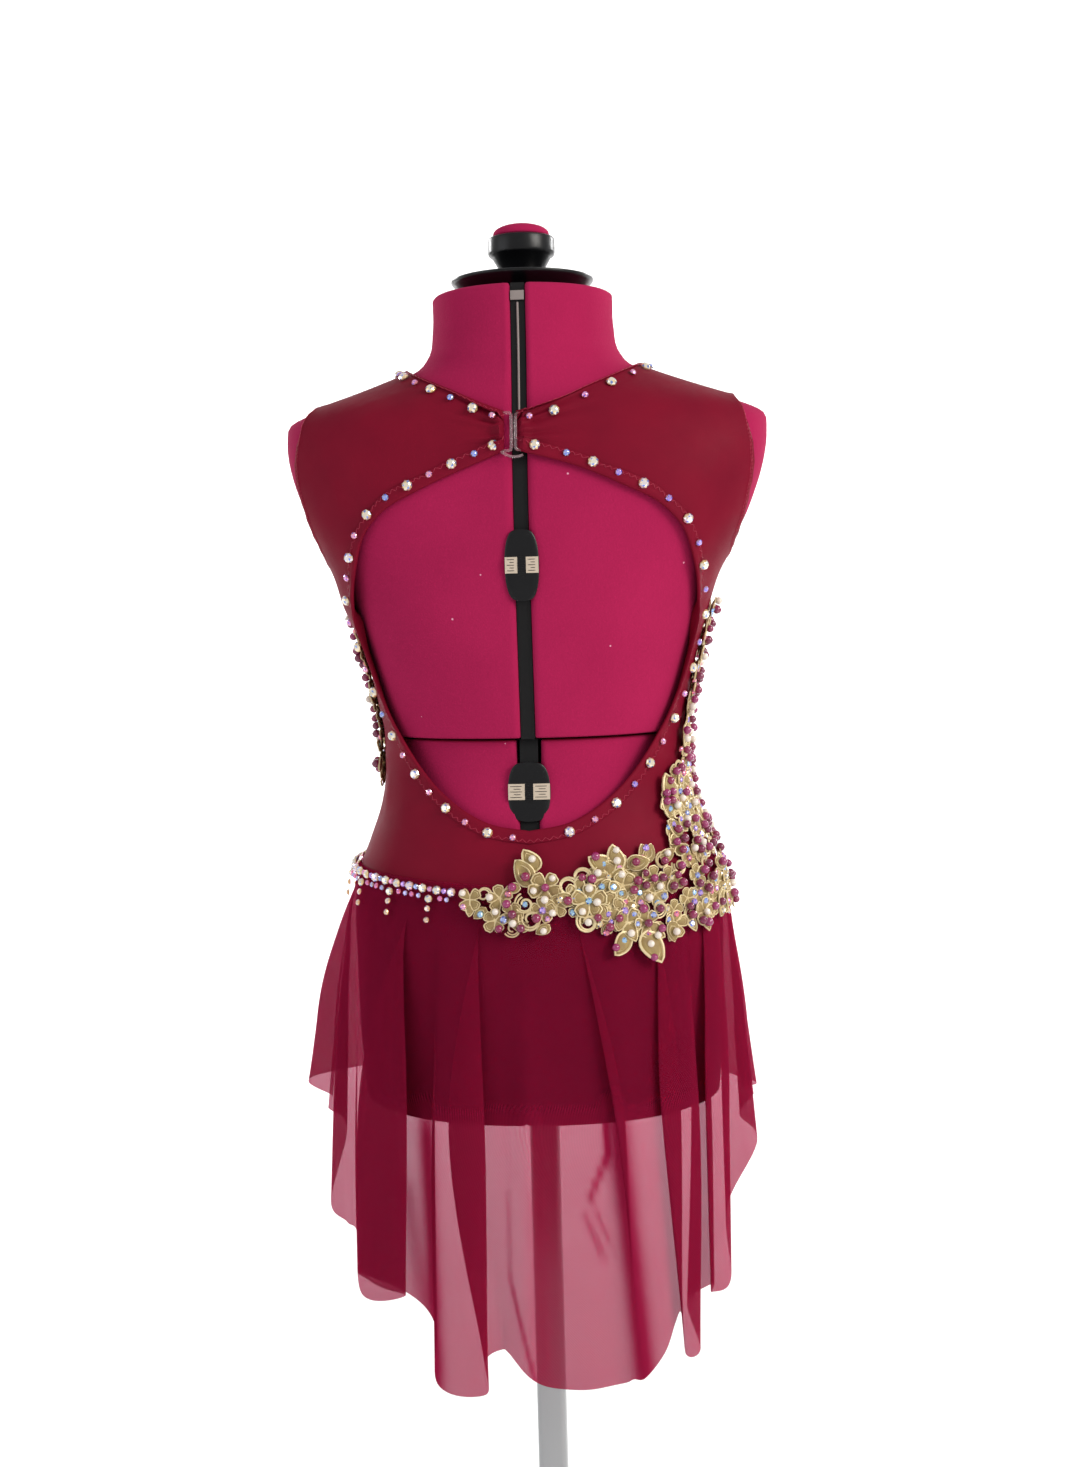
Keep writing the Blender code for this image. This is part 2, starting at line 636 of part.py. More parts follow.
def spine_ring(height, slot, inset):
    """One level ring of the spine, with its four arms a rail's depth under the form's skin."""
    half, back, front, _ = (float(v) for v in form_at(height))
    depth = RAIL_DEPTH + inset
    g, h, b, f = slot - CORE_PLAY, half - depth, back - depth, front - depth
    right = ((g, -b), (g, -g), (h, -g), (h, g), (g, g), (g, f))
    plan = [*right, *((-x, y) for x, y in reversed(right))]
    return [(x, y, height) for x, y in plan]


def add_core():
    """Makes the black spine of the form, a plus in plan that fills its four slots."""
    hip = np.linspace(FORM_FOOT, WAIST_GAP[0] + SPINE_GAP_PLAY, SPINE_LEVELS["hip"])
    bust = levels(WAIST_GAP[1] - SPINE_GAP_PLAY, FORM_TOP, SPINE_LEVELS["bust"])
    rings = [spine_ring(z, LOWER_SLOT, lower_inset(z)) for z in hip]
    rings += [spine_ring(z, UPPER_SLOT, 0.0) for z in bust]
    size = len(rings[0])
    faces = []
    for r in range(len(rings) - 1):
        for c in range(size):
            d = (c + 1) % size
            faces.append((r * size + c, r * size + d, (r + 1) * size + d, (r + 1) * size + c))
    faces.append(tuple(reversed(range(size))))
    faces.append(tuple((len(rings) - 1) * size + c for c in range(size)))
    points = np.array(rings).reshape(-1, 3)
    return add_solid("form_spine", points, faces, "black_plastic", smooth_below=30.0)


def lower_inset(height):
    """How far the hip shells are set in under the bust shells, fading down from the waist gap."""
    share = np.clip((height - (WAIST_GAP[0] - LOWER_STEP_FADE)) / LOWER_STEP_FADE, 0.0, 1.0)
    return LOWER_STEP * share * share * (3.0 - 2.0 * share)


def build_form():
    """The eight shells of the form, its spine, neck cap, knob and pin cushion."""
    lower = np.linspace(FORM_FOOT, WAIST_GAP[0], HIP_LEVELS)
    upper = np.append(levels(WAIST_GAP[1], FORM_TOP - NECK_EDGE_ROUND, BUST_LEVELS), FORM_TOP)
    top_round = np.zeros(len(upper))
    top_round[-1] = NECK_EDGE_ROUND
    for y_name, y_side in (("back", -1), ("front", 1)):
        for x_name, x_side in (("left", -1), ("right", 1)):
            add_wedge(f"form_hip_{y_name}_{x_name}", x_side, y_side, LOWER_SLOT, lower, lower_inset(lower))
            add_wedge(f"form_bust_{y_name}_{x_name}", x_side, y_side, UPPER_SLOT, upper, top_round)
    add_core()
    add_turned("neck_cap", CAP_PROFILE, "black_plastic", sides=32)
    add_turned("neck_knob", KNOB_PROFILE, "black_plastic", sides=24)
    add_turned("pin_cushion", CUSHION_PROFILE, "form_jersey", sides=24)


def build_stand():
    """The hub under the form, the pole, its collar and the base plate."""
    add_turned("form_hub", HUB_PROFILE, "black_plastic", sides=28)
    foot = BASE_PROFILE[-1][0] + FACE_GAP
    h, c = POLE_WIDTH / 2, POLE_WIDTH / 2 - POLE_CHAMFER
    plan = ((h, -c), (h, c), (c, h), (-c, h), (-h, c), (-h, -c), (-c, -h), (c, -h))
    ends = (foot, HUB_PROFILE[0][0] - FACE_GAP)
    points = [(x, y, z) for z in ends for x, y in plan]
    faces = [(i, (i + 1) % 8, 8 + (i + 1) % 8, 8 + i) for i in range(8)]
    faces += [tuple(reversed(range(8))), tuple(range(8, 16))]
    add_solid("pole", points, faces, "stand_steel", smooth_below=20.0)
    add_turned("base_plate", BASE_PROFILE, "base_enamel", sides=40)
    add_ring("pole_collar", (foot, foot + COLLAR_HEIGHT), COLLAR_INNER, COLLAR_OUTER)


def add_ring(name, ends, inner, outer, sides=28):
    """Makes a plain turned ring with square edges."""
    turn = np.radians(np.arange(sides) * 360.0 / sides)
    loops = ((outer, ends[0]), (outer, ends[1]), (inner, ends[1]), (inner, ends[0]))
    points = [(r * math.cos(a), r * math.sin(a), z) for r, z in loops for a in turn]
    faces = []
    for r in range(4):
        s = (r + 1) % 4
        for c in range(sides):
            d = (c + 1) % sides
            faces.append((r * sides + c, r * sides + d, s * sides + d, s * sides + c))
    return add_solid(name, points, faces, "base_enamel", smooth_below=35.0)


def build_adjusters():
    """The oval plates that show in the back slot, each with two measuring tags."""
    for plate in ADJUSTERS:
        half, reach = plate["width"] / 2, plate["length"] / 2
        turn = np.linspace(-1.0, 1.0, PLATE_ROWS + 1)
        heights = plate["height"] + reach * np.sin(turn * math.pi / 2)
        widths = half * np.maximum(np.cos(turn * math.pi / 2) ** PLATE_SQUARENESS, PLATE_END_SHARE)
        across = np.linspace(-1.0, 1.0, PLATE_COLUMNS + 1)
        inset = lower_inset(heights) if plate["name"] == "lower" else np.zeros_like(heights)
        flat = on_back(widths[:, None] * across[None], heights[:, None] + 0.0 * across[None])
        normal = form_normal(flat)
        rise = (PLATE_RISE - inset)[:, None, None]
        add_wall(
            f"adjuster_plate_{plate['name']}",
            flat + normal * (rise + PLATE_THICK),
            flat + normal * rise,
            "black_plastic",
        )
        wide, tall = plate["tag"]
        for side_name, side in (("left", -1), ("right", 1)):
            edges = np.sort(side * np.array([half - TAG_INSET - wide, half - TAG_INSET]))
            spots = np.linspace(edges[0], edges[1], 3)
            tag_z = plate["height"] + np.array([-tall / 2, tall / 2])
            lie = on_back(spots[None] + 0.0 * tag_z[:, None], tag_z[:, None] + 0.0 * spots[None])
            tag_inset = lower_inset(tag_z) if plate["name"] == "lower" else np.zeros(2)
            out = (PLATE_RISE + PLATE_THICK + TAG_GAP - tag_inset)[:, None, None]
            up = form_normal(lie)
            name = f"scale_tag_{plate['name']}_{side_name}"
            add_wall(name, lie + up * (out + TAG_THICK), lie + up * out, "scale_card")


def keyhole_line(tab_end):
    """Right half of the keyhole edge on the form, from the bottom to the end of the tab."""
    table = np.array([*KEYHOLE, (tab_end, TAB_LOW)])
    run = np.concatenate([[0.0], np.cumsum(np.linalg.norm(np.diff(table, axis=0), axis=1))])
    dense = through(run, table, np.linspace(0.0, run[-1], 300))
    dense[0, 0] = 0.0
    return on_back(dense[:, 0], dense[:, 1])


def side_line(low, high, y):
    """The side or shoulder line of the form between two heights, just off its middle plane."""
    heights = np.linspace(low, high, 120)
    return np.stack([form_at(heights)[0], np.full_like(heights, y), heights], axis=1)


def armhole_line(direction):
    """Armhole edge on the right flank, from underarm to shoulder; direction is -1 behind and 1 in front."""
    table = np.array(ARMHOLE)
    run = np.concatenate([[0.0], np.cumsum(np.linalg.norm(np.diff(table, axis=0), axis=1))])
    dense = through(run, table, np.linspace(0.0, run[-1], 160))
    share = 1.0 if direction < 0 else FRONT_ARMHOLE_SHARE
    depth = np.maximum(dense[:, 0] * share, SEAM_GAP / 2)
    line = on_flank(direction * depth, dense[:, 1])
    line[0] = (form_at(UNDERARM)[0], direction * SEAM_GAP / 2, UNDERARM)
    line[-1] = (form_at(SHOULDER_OUT)[0], direction * SEAM_GAP / 2, SHOULDER_OUT)
    return line


def back_half(tab_end):
    """Grid of the right half of the back: rows from the keyhole outwards, columns from the bottom up."""
    inner = keyhole_line(tab_end)
    seam_turn = np.linspace(0.0, 90.0, 60)
    seam = on_section(seam_turn, seam_height(seam_turn))
    seam[-1, 1] = -SEAM_GAP / 2
    neck = [on_flank(-SEAM_GAP / 2, SHOULDER_IN), *(on_back(x, z) for x, z in BACK_NECKLINE)]
    neck.append(on_back(tab_end, TAB_HIGH))
    neck = onto_form(spread(smooth_line(np.array(neck)), 60))
    spans = (
        seam,
        side_line(seam_height(90.0), UNDERARM, -SEAM_GAP / 2),
        armhole_line(-1),
        side_line(SHOULDER_OUT, SHOULDER_IN, -SEAM_GAP / 2),
        neck,
    )
    outer = joined([spread(span, count) for span, count in zip(spans, BACK_COLUMNS)])
    shares = corner_shares(KEYHOLE_CORNERS, BACK_COLUMNS)
    return relaxed(between(along(inner, shares), outer, BACK_ROWS)), shares


def corner_shares(corners, counts):
    """Shares of an edge's length for each column, so many to the stretch between two corners."""
    return joined([np.linspace(a, b, count + 1) for a, b, count in zip(corners, corners[1:], counts)])


def joined(spans):
    """Spans that share end points, as one line."""
    return np.concatenate([spans[0], *(span[1:] for span in spans[1:])])


def smooth_line(points):
    """A smooth line through a few points of space."""
    run = np.concatenate([[0.0], np.cumsum(np.linalg.norm(np.diff(points, axis=0), axis=1))])
    return through(run, points, np.linspace(0.0, run[-1], 80))


def back_grid():
    """Grid of the whole back piece, from the left tab round the keyhole to the right tab."""
    right, shares = back_half(TAB_END["right"])
    left, _ = back_half(-TAB_END["left"])
    left = left[:, ::-1] * np.array([-1.0, 1.0, 1.0])
    return np.concatenate([left[:, :-1], right], axis=1), np.concatenate([shares[::-1][:-1], shares])


def keyhole_lift(shares, rows):
    """How far the keyhole's sides stand off the form, by column and row."""
    place = np.clip((shares - 0.06) / 0.78, 0.0, 1.0)
    across = np.clip(1.0 - np.linspace(0.0, 1.0, rows) / KEYHOLE_LIFT_REACH, 0.0, 1.0) ** 2
    return KEYHOLE_LIFT * across[:, None] * np.sin(math.pi * place)[None] ** 2


def flank_ease(grid):
    """How far the cloth stands off the left flank under the arm, where it isn't pulled tight."""
    turn = np.degrees(np.arctan2(grid[..., 0], -grid[..., 1]))
    return FLANK_EASE * np.exp(-(((turn + 90.0) / 30.0) ** 2) - ((grid[..., 2] - FLANK_HEIGHT) / 26.0) ** 2)


def front_half():
    """Grid of the right half of the front: rows from the neckline outwards, columns shoulder to middle."""
    neck = [on_flank(SEAM_GAP / 2, SHOULDER_IN), *(on_front(x, z) for x, z in FRONT_NECKLINE)]
    inner = onto_form(spread(smooth_line(np.array(neck)), 120))
    seam_turn = np.linspace(90.0, 180.0, 60)
    seam = on_section(seam_turn, seam_height(seam_turn))
    seam[0, 1], seam[-1, 0] = SEAM_GAP / 2, 0.0
    spans = (armhole_line(1)[::-1], side_line(UNDERARM, seam_height(90.0), SEAM_GAP / 2), seam)
    outer = joined([spread(span, count) for span, count in zip(spans, FRONT_COLUMNS)])
    shares = corner_shares(FRONT_CORNERS, FRONT_COLUMNS)
    grid = between(along(inner, shares), outer, FRONT_ROWS)
    share = np.linspace(0.0, 1.0, FRONT_ROWS + 1)[1:-1]
    shoulder = on_flank(SEAM_GAP / 2, SHOULDER_IN - (SHOULDER_IN - SHOULDER_OUT) * share)
    grid[1:-1, 0] = shoulder
    return grid


def front_grid():
    """Grid of the whole front, from the right shoulder seam round to the left one."""
    right = front_half()
    left = right[:, ::-1] * np.array([-1.0, 1.0, 1.0])
    return relaxed(np.concatenate([right, left[:, 1:]], axis=1), rounds=160)


def band_grid(outer, width):
    """A strip on a panel: for each column, the panel's outer points at its edge and a width further in."""
    lines = []
    for column in np.moveaxis(outer, 1, 0):
        run = np.concatenate([[0.0], np.cumsum(np.linalg.norm(np.diff(column, axis=0), axis=1))])
        at = np.array([BINDING_EDGE, width])
        lines.append(np.stack([np.interp(at, run, column[:, i]) for i in range(3)], axis=1))
    return np.stack(lines, axis=1)


def build_bodice():
    """Back with its keyhole, front, and the bindings of keyhole and neckline."""
    grid, shares = back_grid()
    normal = form_normal(grid)
    lift = keyhole_lift(shares, BACK_ROWS + 1) + flank_ease(grid)
    low = cleared(grid + normal * (BODICE_OFF + lift[..., None]), normal, [over_form], FORM_CLEAR)
    back = low + normal * BODICE_WALL
    add_wall("bodice_back", back, low, "bodice_jersey")
    strip, up = band_grid(back, BINDING_WIDTH), normal[:2]
    strip = cleared(strip + up * PILE_GAP, up, [over_panels([(back, normal)])], PILE_GAP)
    add_wall("keyhole_binding", strip + up * BINDING_WALL, strip, "bodice_jersey")

    front = front_grid()
    front_normal = form_normal(front)
    front_low = front + front_normal * (BODICE_OFF + flank_ease(front)[..., None])
    front_low = cleared(front_low, front_normal, [over_form], FORM_CLEAR)
    front_out = front_low + front_normal * BODICE_WALL
    add_wall("bodice_front", front_out, front_low, "bodice_jersey")
    add_neck_binding(back, normal, front_out, front_normal)
    return [(back, normal), (front_out, front_normal)]


def add_neck_binding(back, normal, front_out, front_normal):
    """The binding that runs from the left tab round the neckline to the right tab, one strip."""
    neck = BACK_COLUMNS[-1]
    pieces = []
    for outer, up in (
        (back[::-1][:, -neck - 1 :][:, ::-1], normal[::-1][:, -neck - 1 :][:, ::-1]),
        (front_out, front_normal),
        (back[::-1][:, : neck + 1][:, ::-1], normal[::-1][:, : neck + 1][:, ::-1]),
    ):
        pieces.append((band_grid(outer, NECK_BINDING_WIDTH), up[:2]))
    strip = np.concatenate([grid for grid, _ in pieces], axis=1)
    up = np.concatenate([directions for _, directions in pieces], axis=1)
    under = over_panels([(back, normal), (front_out, front_normal)])
    strip = cleared(strip + up * PILE_GAP, up, [under], PILE_GAP)
    add_wall("neck_binding", strip + up * BINDING_WALL, strip, "bodice_jersey")


def build_trunk():
    """The close-fitting seat and front under the skirt, from the hip seam to the foot of the form."""
    made = []
    for name, first, last in (("trunk_back", -90.0, 90.0), ("trunk_front", 90.0, 270.0)):
        clear = 0.15
        turn = np.linspace(first + clear, last - clear, TRUNK_COLUMNS + 1)
        top = seam_height(turn) - SEAM_GAP
        share = np.linspace(0.0, 1.0, TRUNK_ROWS + 1)[:, None]
        heights = top[None] * (1 - share) + TRUNK_HEM * share
        skin = on_section(turn[None] + 0.0 * share, heights)
        normal = form_normal(skin)
        normal[..., 2] = 0.0
        normal /= np.linalg.norm(normal, axis=-1, keepdims=True)
        low = cleared(skin + normal * BODICE_OFF, normal, [over_form], FORM_CLEAR)
        add_wall(name, low + normal * BODICE_WALL, low, "bodice_jersey")
        made.append((low + normal * BODICE_WALL, normal))
    return made


def fold_track(folds, share):
    """The cloth's turns at a share of the drop, as a smooth line of (angle, reach, hem height)."""
    table = np.array(folds)
    opened = max(0.0, (share - FOLD_START) / (1.0 - FOLD_START))
    angle = through(HALVES, table[:, :3].T, np.array([share]))[0]
    reaches = np.stack([np.zeros(len(table)), table[:, 3], table[:, 4]])
    reach = through(HALVES, reaches, np.array([opened]))[0]
    return rounded(np.stack([angle, reach, table[:, 5]], axis=1))


def rounded(turns):
    """A Catmull-Rom line through the turns in order, with its ends held and FOLD_STEPS to a span."""
    padded = np.concatenate([2 * turns[:1] - turns[1:2], turns, 2 * turns[-1:] - turns[-2:-1]])
    made = []
    for i in range(1, len(padded) - 2):
        p0, p1, p2, p3 = padded[i - 1 : i + 3]
        for t in np.arange(FOLD_STEPS) / FOLD_STEPS:
            square, cube = 2 * p0 - 5 * p1 + 4 * p2 - p3, 3 * p1 - p0 - 3 * p2 + p3
            made.append(p1 + 0.5 * ((p2 - p0) * t + square * t**2 + cube * t**3))
    made.append(turns[-1])
    return np.array(made)


def skirt_grid(folds, rows):
    """Middle surface of a skirt panel: rows from the seam to the hem, columns round the body."""
    foot = fold_track(folds, 1.0)[:, 2]
    top = seam_height(fold_track(folds, 0.0)[:, 0]) + SEAM_OVERLAP
    grid = []
    for share in np.linspace(0.0, 1.0, rows + 1) ** ROW_CROWDING:
        track = fold_track(folds, share)
        heights = top * (1 - share) + foot * share
        drop = np.clip((top - heights) / FULL_DROP, 0.0, 1.0)
        grow = SKIRT_EASE_TOP + (SKIRT_EASE_HEM - SKIRT_EASE_TOP) * drop + track[:, 1]
        line = on_section(track[:, 0], np.maximum(heights, SKIRT_SECTION_FOOT), grow)
        line[:, 2] = heights
        grid.append(line)
    return np.array(grid)


def grid_normals(grid):
    """Unit normals of a grid, from its neighbours, looking outwards for columns that run left to right."""
    down = np.gradient(grid, axis=0)
    across = np.gradient(grid, axis=1)
    normal = np.cross(down, across)
    return normal / np.maximum(np.linalg.norm(normal, axis=-1, keepdims=True), 1e-9)


def build_skirt(under):
    """Back and front panels of the skirt, in their folds."""
    outers = []
    reader = over_panels(under)
    for name, folds, rows in (
        ("skirt_back", BACK_FOLDS, BACK_SKIRT_ROWS),
        ("skirt_front", FRONT_FOLDS, FRONT_SKIRT_ROWS),
    ):
        grid = skirt_grid(folds, rows)
        grid = cleared(grid, form_normal(grid), [reader], SKIRT_WALL / 2 + SKIRT_GAP)
        normal = grid_normals(grid)
        outer = grid + normal * SKIRT_WALL / 2
        add_wall(name, outer, grid - normal * SKIRT_WALL / 2, "stretch_mesh")
        outers.append((outer, form_normal(outer)))
    return outers


def petal_relief(along_mm, across_mm):
    """Height of the corded petals over the lace ground, from places on the patch in millimetres."""
    waves = [np.abs(np.sin(math.pi * place / PETAL_PITCH)) for place in (along_mm, across_mm)]
    return PATCH_BASE + PATCH_RELIEF * np.sqrt(waves[0] * waves[1])


def patch_wall(name, angles, heights, cover, panels):
    """Makes an applique patch from grids of angles and heights, lying on the panels under it."""
    skin = on_section(angles, heights)
    normal = form_normal(skin)
    low = cleared(skin + normal * cover, normal, [over_panels(panels)], PATCH_GAP, steps=6)
    steps = [np.linalg.norm(np.diff(low, axis=axis), axis=-1) for axis in (0, 1)]
    down = np.concatenate([np.zeros((1, low.shape[1])), np.cumsum(steps[0], axis=0)])
    right = np.concatenate([np.zeros((low.shape[0], 1)), np.cumsum(steps[1], axis=1)], axis=1)
    rise = petal_relief(right, down)[..., None]
    outer = low + normal * rise
    add_wall(name, outer, low, "gold_lace")
    return outer, normal


def build_applique(bodice, skirt):
    """The two patches that climb the sides, then the hip patch, which laps over the right one."""
    cover = BODICE_OFF + BODICE_WALL + PILE_GAP
    sides = []
    for name, rows_of in (("applique_right", RIGHT_PATCH), ("applique_left", LEFT_PATCH)):
        table = np.array(rows_of)
        columns, rows = SIDE_PATCH_GRID
        level = np.linspace(table[-1, 0], table[0, 0], columns + 1)
        edges = through(table[:, 0], table[:, 1:], level)
        share = np.linspace(0.0, 1.0, rows + 1)[None]
        angles = edges[:, :1] * (1 - share) + edges[:, 1:] * share
        sides.append(patch_wall(name, angles, level[:, None] + 0.0 * share, cover, bodice))
    columns, rows = HIP_PATCH_GRID
    table = np.array(HIP_PATCH)
    turn = np.linspace(table[0, 0], table[-1, 0], columns + 1)
    edges = through(table[:, 0], table[:, 1:], turn)
    share = np.linspace(0.0, 1.0, rows + 1)[:, None]
    heights = edges[:, 1][None] * (1 - share) + edges[:, 0][None] * share
    patch_wall("applique_hip", turn[None] + 0.0 * share, heights, cover, bodice + skirt + sides)


def wire_loop(centre, size, out):
    """Centre line of a rounded rectangular loop of wire that stands over the back of the form."""
    wide, tall = size[0] / 2 - LOOP_CORNER, size[1] / 2 - LOOP_CORNER
    places = []
    for side, end, start in ((wide, tall, 0), (-wide, tall, 90), (-wide, -tall, 180), (wide, -tall, 270)):
        for a in np.radians(start + np.array([0.0, 30.0, 60.0, 90.0])):
            x = centre[0] + side + LOOP_CORNER * math.cos(a)
            places.append((x, centre[1] + end + LOOP_CORNER * math.sin(a)))
    places = np.array(places)
    return on_back(places[:, 0], places[:, 1]) + np.array([0.0, -out, 0.0])


def add_wire(name, line, radius, finish_name):
    """Makes a closed tube along a closed line of points."""
    count = len(line)
    tangent = np.roll(line, -1, axis=0) - np.roll(line, 1, axis=0)
    tangent /= np.linalg.norm(tangent, axis=1, keepdims=True)
    out = np.tile([0.0, -1.0, 0.0], (count, 1))
    side = np.cross(tangent, out)
    side /= np.linalg.norm(side, axis=1, keepdims=True)
    out = np.cross(side, tangent)
    turn = np.radians(np.arange(WIRE_SIDES) * 360.0 / WIRE_SIDES)[None, :, None]
    rings = line[:, None] + radius * (side[:, None] * np.cos(turn) + out[:, None] * np.sin(turn))
    faces = []
    for r in range(count):
        for c in range(WIRE_SIDES):
            a, b = r * WIRE_SIDES, (r + 1) % count * WIRE_SIDES
            d = (c + 1) % WIRE_SIDES
            faces.append((a + c, b + c, b + d, a + d))
    return add_solid(name, rings.reshape(-1, 3), faces, finish_name)


def build_closure():
    """The clear swimwear hook at the nape and the bar that it catches."""
    height = (TAB_LOW + TAB_HIGH) / 2
    out = BODICE_OFF + BODICE_WALL + 2 * PILE_GAP + BINDING_WALL + CLOSURE_WIRE + FACE_GAP
    hook_x = TAB_END["left"] + HOOK_SIZE[0] / 2 - HOOK_HOLD
    bar_x = TAB_END["right"] + BAR_SIZE[0] / 2 - BAR_HOLD
    for name, x, size in (("closure_hook", hook_x, HOOK_SIZE), ("closure_bar", bar_x, BAR_SIZE)):
        add_wire(name, wire_loop((x, height), size, out), CLOSURE_WIRE, "clear_plastic")


def main():
    """Clears the scene and builds the whole object."""
    for old in list(bpy.data.objects):
        bpy.data.objects.remove(old)
    build_form()
    build_stand()
    build_adjusters()
    bodice = build_bodice()
    trunk = build_trunk()
    skirt = build_skirt(bodice + trunk)
    build_applique(bodice, skirt)
    build_closure()


main()
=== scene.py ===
"""Looks of a lyrical dance dress on its adjustable dress form.

Lengths are in millimetres until a mesh is made. Angles are in degrees, and an angle round the body is 0 at
the middle of the back, 90 at the wearer's right and 180 at the front. The back of the dress faces -Y.
"""

import logging
import math
from dataclasses import dataclass, field
from enum import Enum
from typing import Callable, Sequence

import bpy
import numpy as np
from mathutils import Matrix, Vector


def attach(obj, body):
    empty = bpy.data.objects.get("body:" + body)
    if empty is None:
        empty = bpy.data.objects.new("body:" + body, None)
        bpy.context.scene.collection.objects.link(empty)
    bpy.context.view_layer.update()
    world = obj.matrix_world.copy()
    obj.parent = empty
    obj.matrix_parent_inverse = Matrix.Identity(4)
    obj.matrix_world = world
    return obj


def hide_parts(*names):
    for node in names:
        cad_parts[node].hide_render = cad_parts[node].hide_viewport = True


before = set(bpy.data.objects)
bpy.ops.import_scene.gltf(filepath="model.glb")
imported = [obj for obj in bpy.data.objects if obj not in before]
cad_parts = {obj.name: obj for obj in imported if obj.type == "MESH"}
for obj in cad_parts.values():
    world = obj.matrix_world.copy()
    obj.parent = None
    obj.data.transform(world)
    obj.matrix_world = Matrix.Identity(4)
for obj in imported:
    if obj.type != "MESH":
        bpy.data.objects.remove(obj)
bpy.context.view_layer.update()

MM = 0.001
LOG = logging.getLogger("lyrical_dress")
ROOT = "root"
NOISE, RANGE, MIX, MATH = "ShaderNodeTexNoise", "ShaderNodeMapRange", "ShaderNodeMix", "ShaderNodeMath"
Array, Faces = np.ndarray, list[tuple[int, ...]]
Pair, Triple = tuple[Array, Array], tuple[Array, Array, Array]
Node, Piece, Tree = bpy.types.Node, bpy.types.Object, bpy.types.NodeTree


class Slot(Enum):
    """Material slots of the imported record."""

    JERSEY = "bodice_jersey"
    MESH = "stretch_mesh"
    LACE = "gold_lace"
    FORM = "form_jersey"
    BLACK = "black_plastic"
    CARD = "scale_card"
    CLEAR = "clear_plastic"
    STEEL = "stand_steel"
    ENAMEL = "base_enamel"


class Side(Enum):
    """The two sides of the body as they show from behind."""

    LEFT = -1.0
    RIGHT = 1.0


def linear(colour: str) -> tuple[float, ...]:
    """Turns an sRGB hex colour into linear light.

    Args:
        colour: A colour such as "#A01840".

    Returns:
        Red, green, blue and alpha, each from 0 to 1.
    """
    parts = [int(colour[i : i + 2], 16) / 255.0 for i in (1, 3, 5)]
    return (*(c / 12.92 if c <= 0.04045 else ((c + 0.055) / 1.055) ** 2.4 for c in parts), 1.0)


def wire(tree: Tree, node: Node, inputs: dict) -> None:
    """Fills a node's inputs.

    Args:
        tree: The node's tree.
        node: The node.
        inputs: Socket name or number to a value, a hex colour, or the node or socket that is linked to it.
    """
    for key, value in inputs.items():
        if isinstance(value, Node):
            value = next(socket for socket in value.outputs if socket.enabled)
        if isinstance(value, bpy.types.NodeSocket):
            tree.links.new(value, node.inputs[key])
        else:
            is_colour = isinstance(value, str) and value.startswith("#")
            node.inputs[key].default_value = linear(value) if is_colour else value


def add_node(tree: Tree, kind: str, inputs: dict | None = None, **settings) -> Node:
    """Adds one node with its settings, values and links.

    Args:
        tree: The node tree that gets it.
        kind: Blender's name for the type of node.
        inputs: What each input gets, as for wire.
        **settings: Properties of the node.

    Returns:
        The new node.
    """
    node = tree.nodes.new(kind)
    for key, value in settings.items():
        setattr(node, key, value)
    wire(tree, node, inputs or {})
    return node


def grains(size: float) -> float:
    """Texture scale whose grains have a real size in millimetres."""
    return 1.0 / (size * MM)


@dataclass(frozen=True)
class Finish:
    """A surface: its colour, gloss and metal, with the fine detail that a subclass adds."""

    name: str
    colour: str
    roughness: float = 0.5
    metallic: float = 0.0
    coat: float = 0.0
    sheen: float = 0.0
    sheen_colour: str = "#FFFFFF"
    ior: float = 1.5
    alpha: float = 1.0
    gloss: float = 0.5
    clear: float = 0.0

    def material(self) -> bpy.types.Material:
        """Makes the material the first time, and gives the same one afterwards.

        Returns:
            The material.
        """
        if found := bpy.data.materials.get(self.name):
            return found
        made = bpy.data.materials.new(self.name)
        made.use_nodes = True
        plain = {
            "Base Color": self.colour, "Roughness": self.roughness, "Metallic": self.metallic,
            "IOR": self.ior, "Coat Weight": self.coat, "Coat Roughness": 0.08, "Alpha": self.alpha,
            "Sheen Weight": self.sheen,
            "Sheen Roughness": 0.45, "Sheen Tint": self.sheen_colour, "Specular IOR Level": self.gloss,
            "Transmission Weight": self.clear,
        }
        wire(made.node_tree, made.node_tree.nodes["Principled BSDF"], plain | self.detail(made.node_tree))
        return made

    def detail(self, tree: Tree) -> dict:
        """Draws nothing: a subclass draws its weave, grain or cut and gives the inputs that it sets."""
        return {}

    def rough(self, grain: Node, less: float, more: float, tree: Tree) -> Node:
        """The roughness, changed by a grain within a range about its own value."""
        ends = {"Value": grain, "To Min": self.roughness - less, "To Max": self.roughness + more}
        return add_node(tree, RANGE, ends)


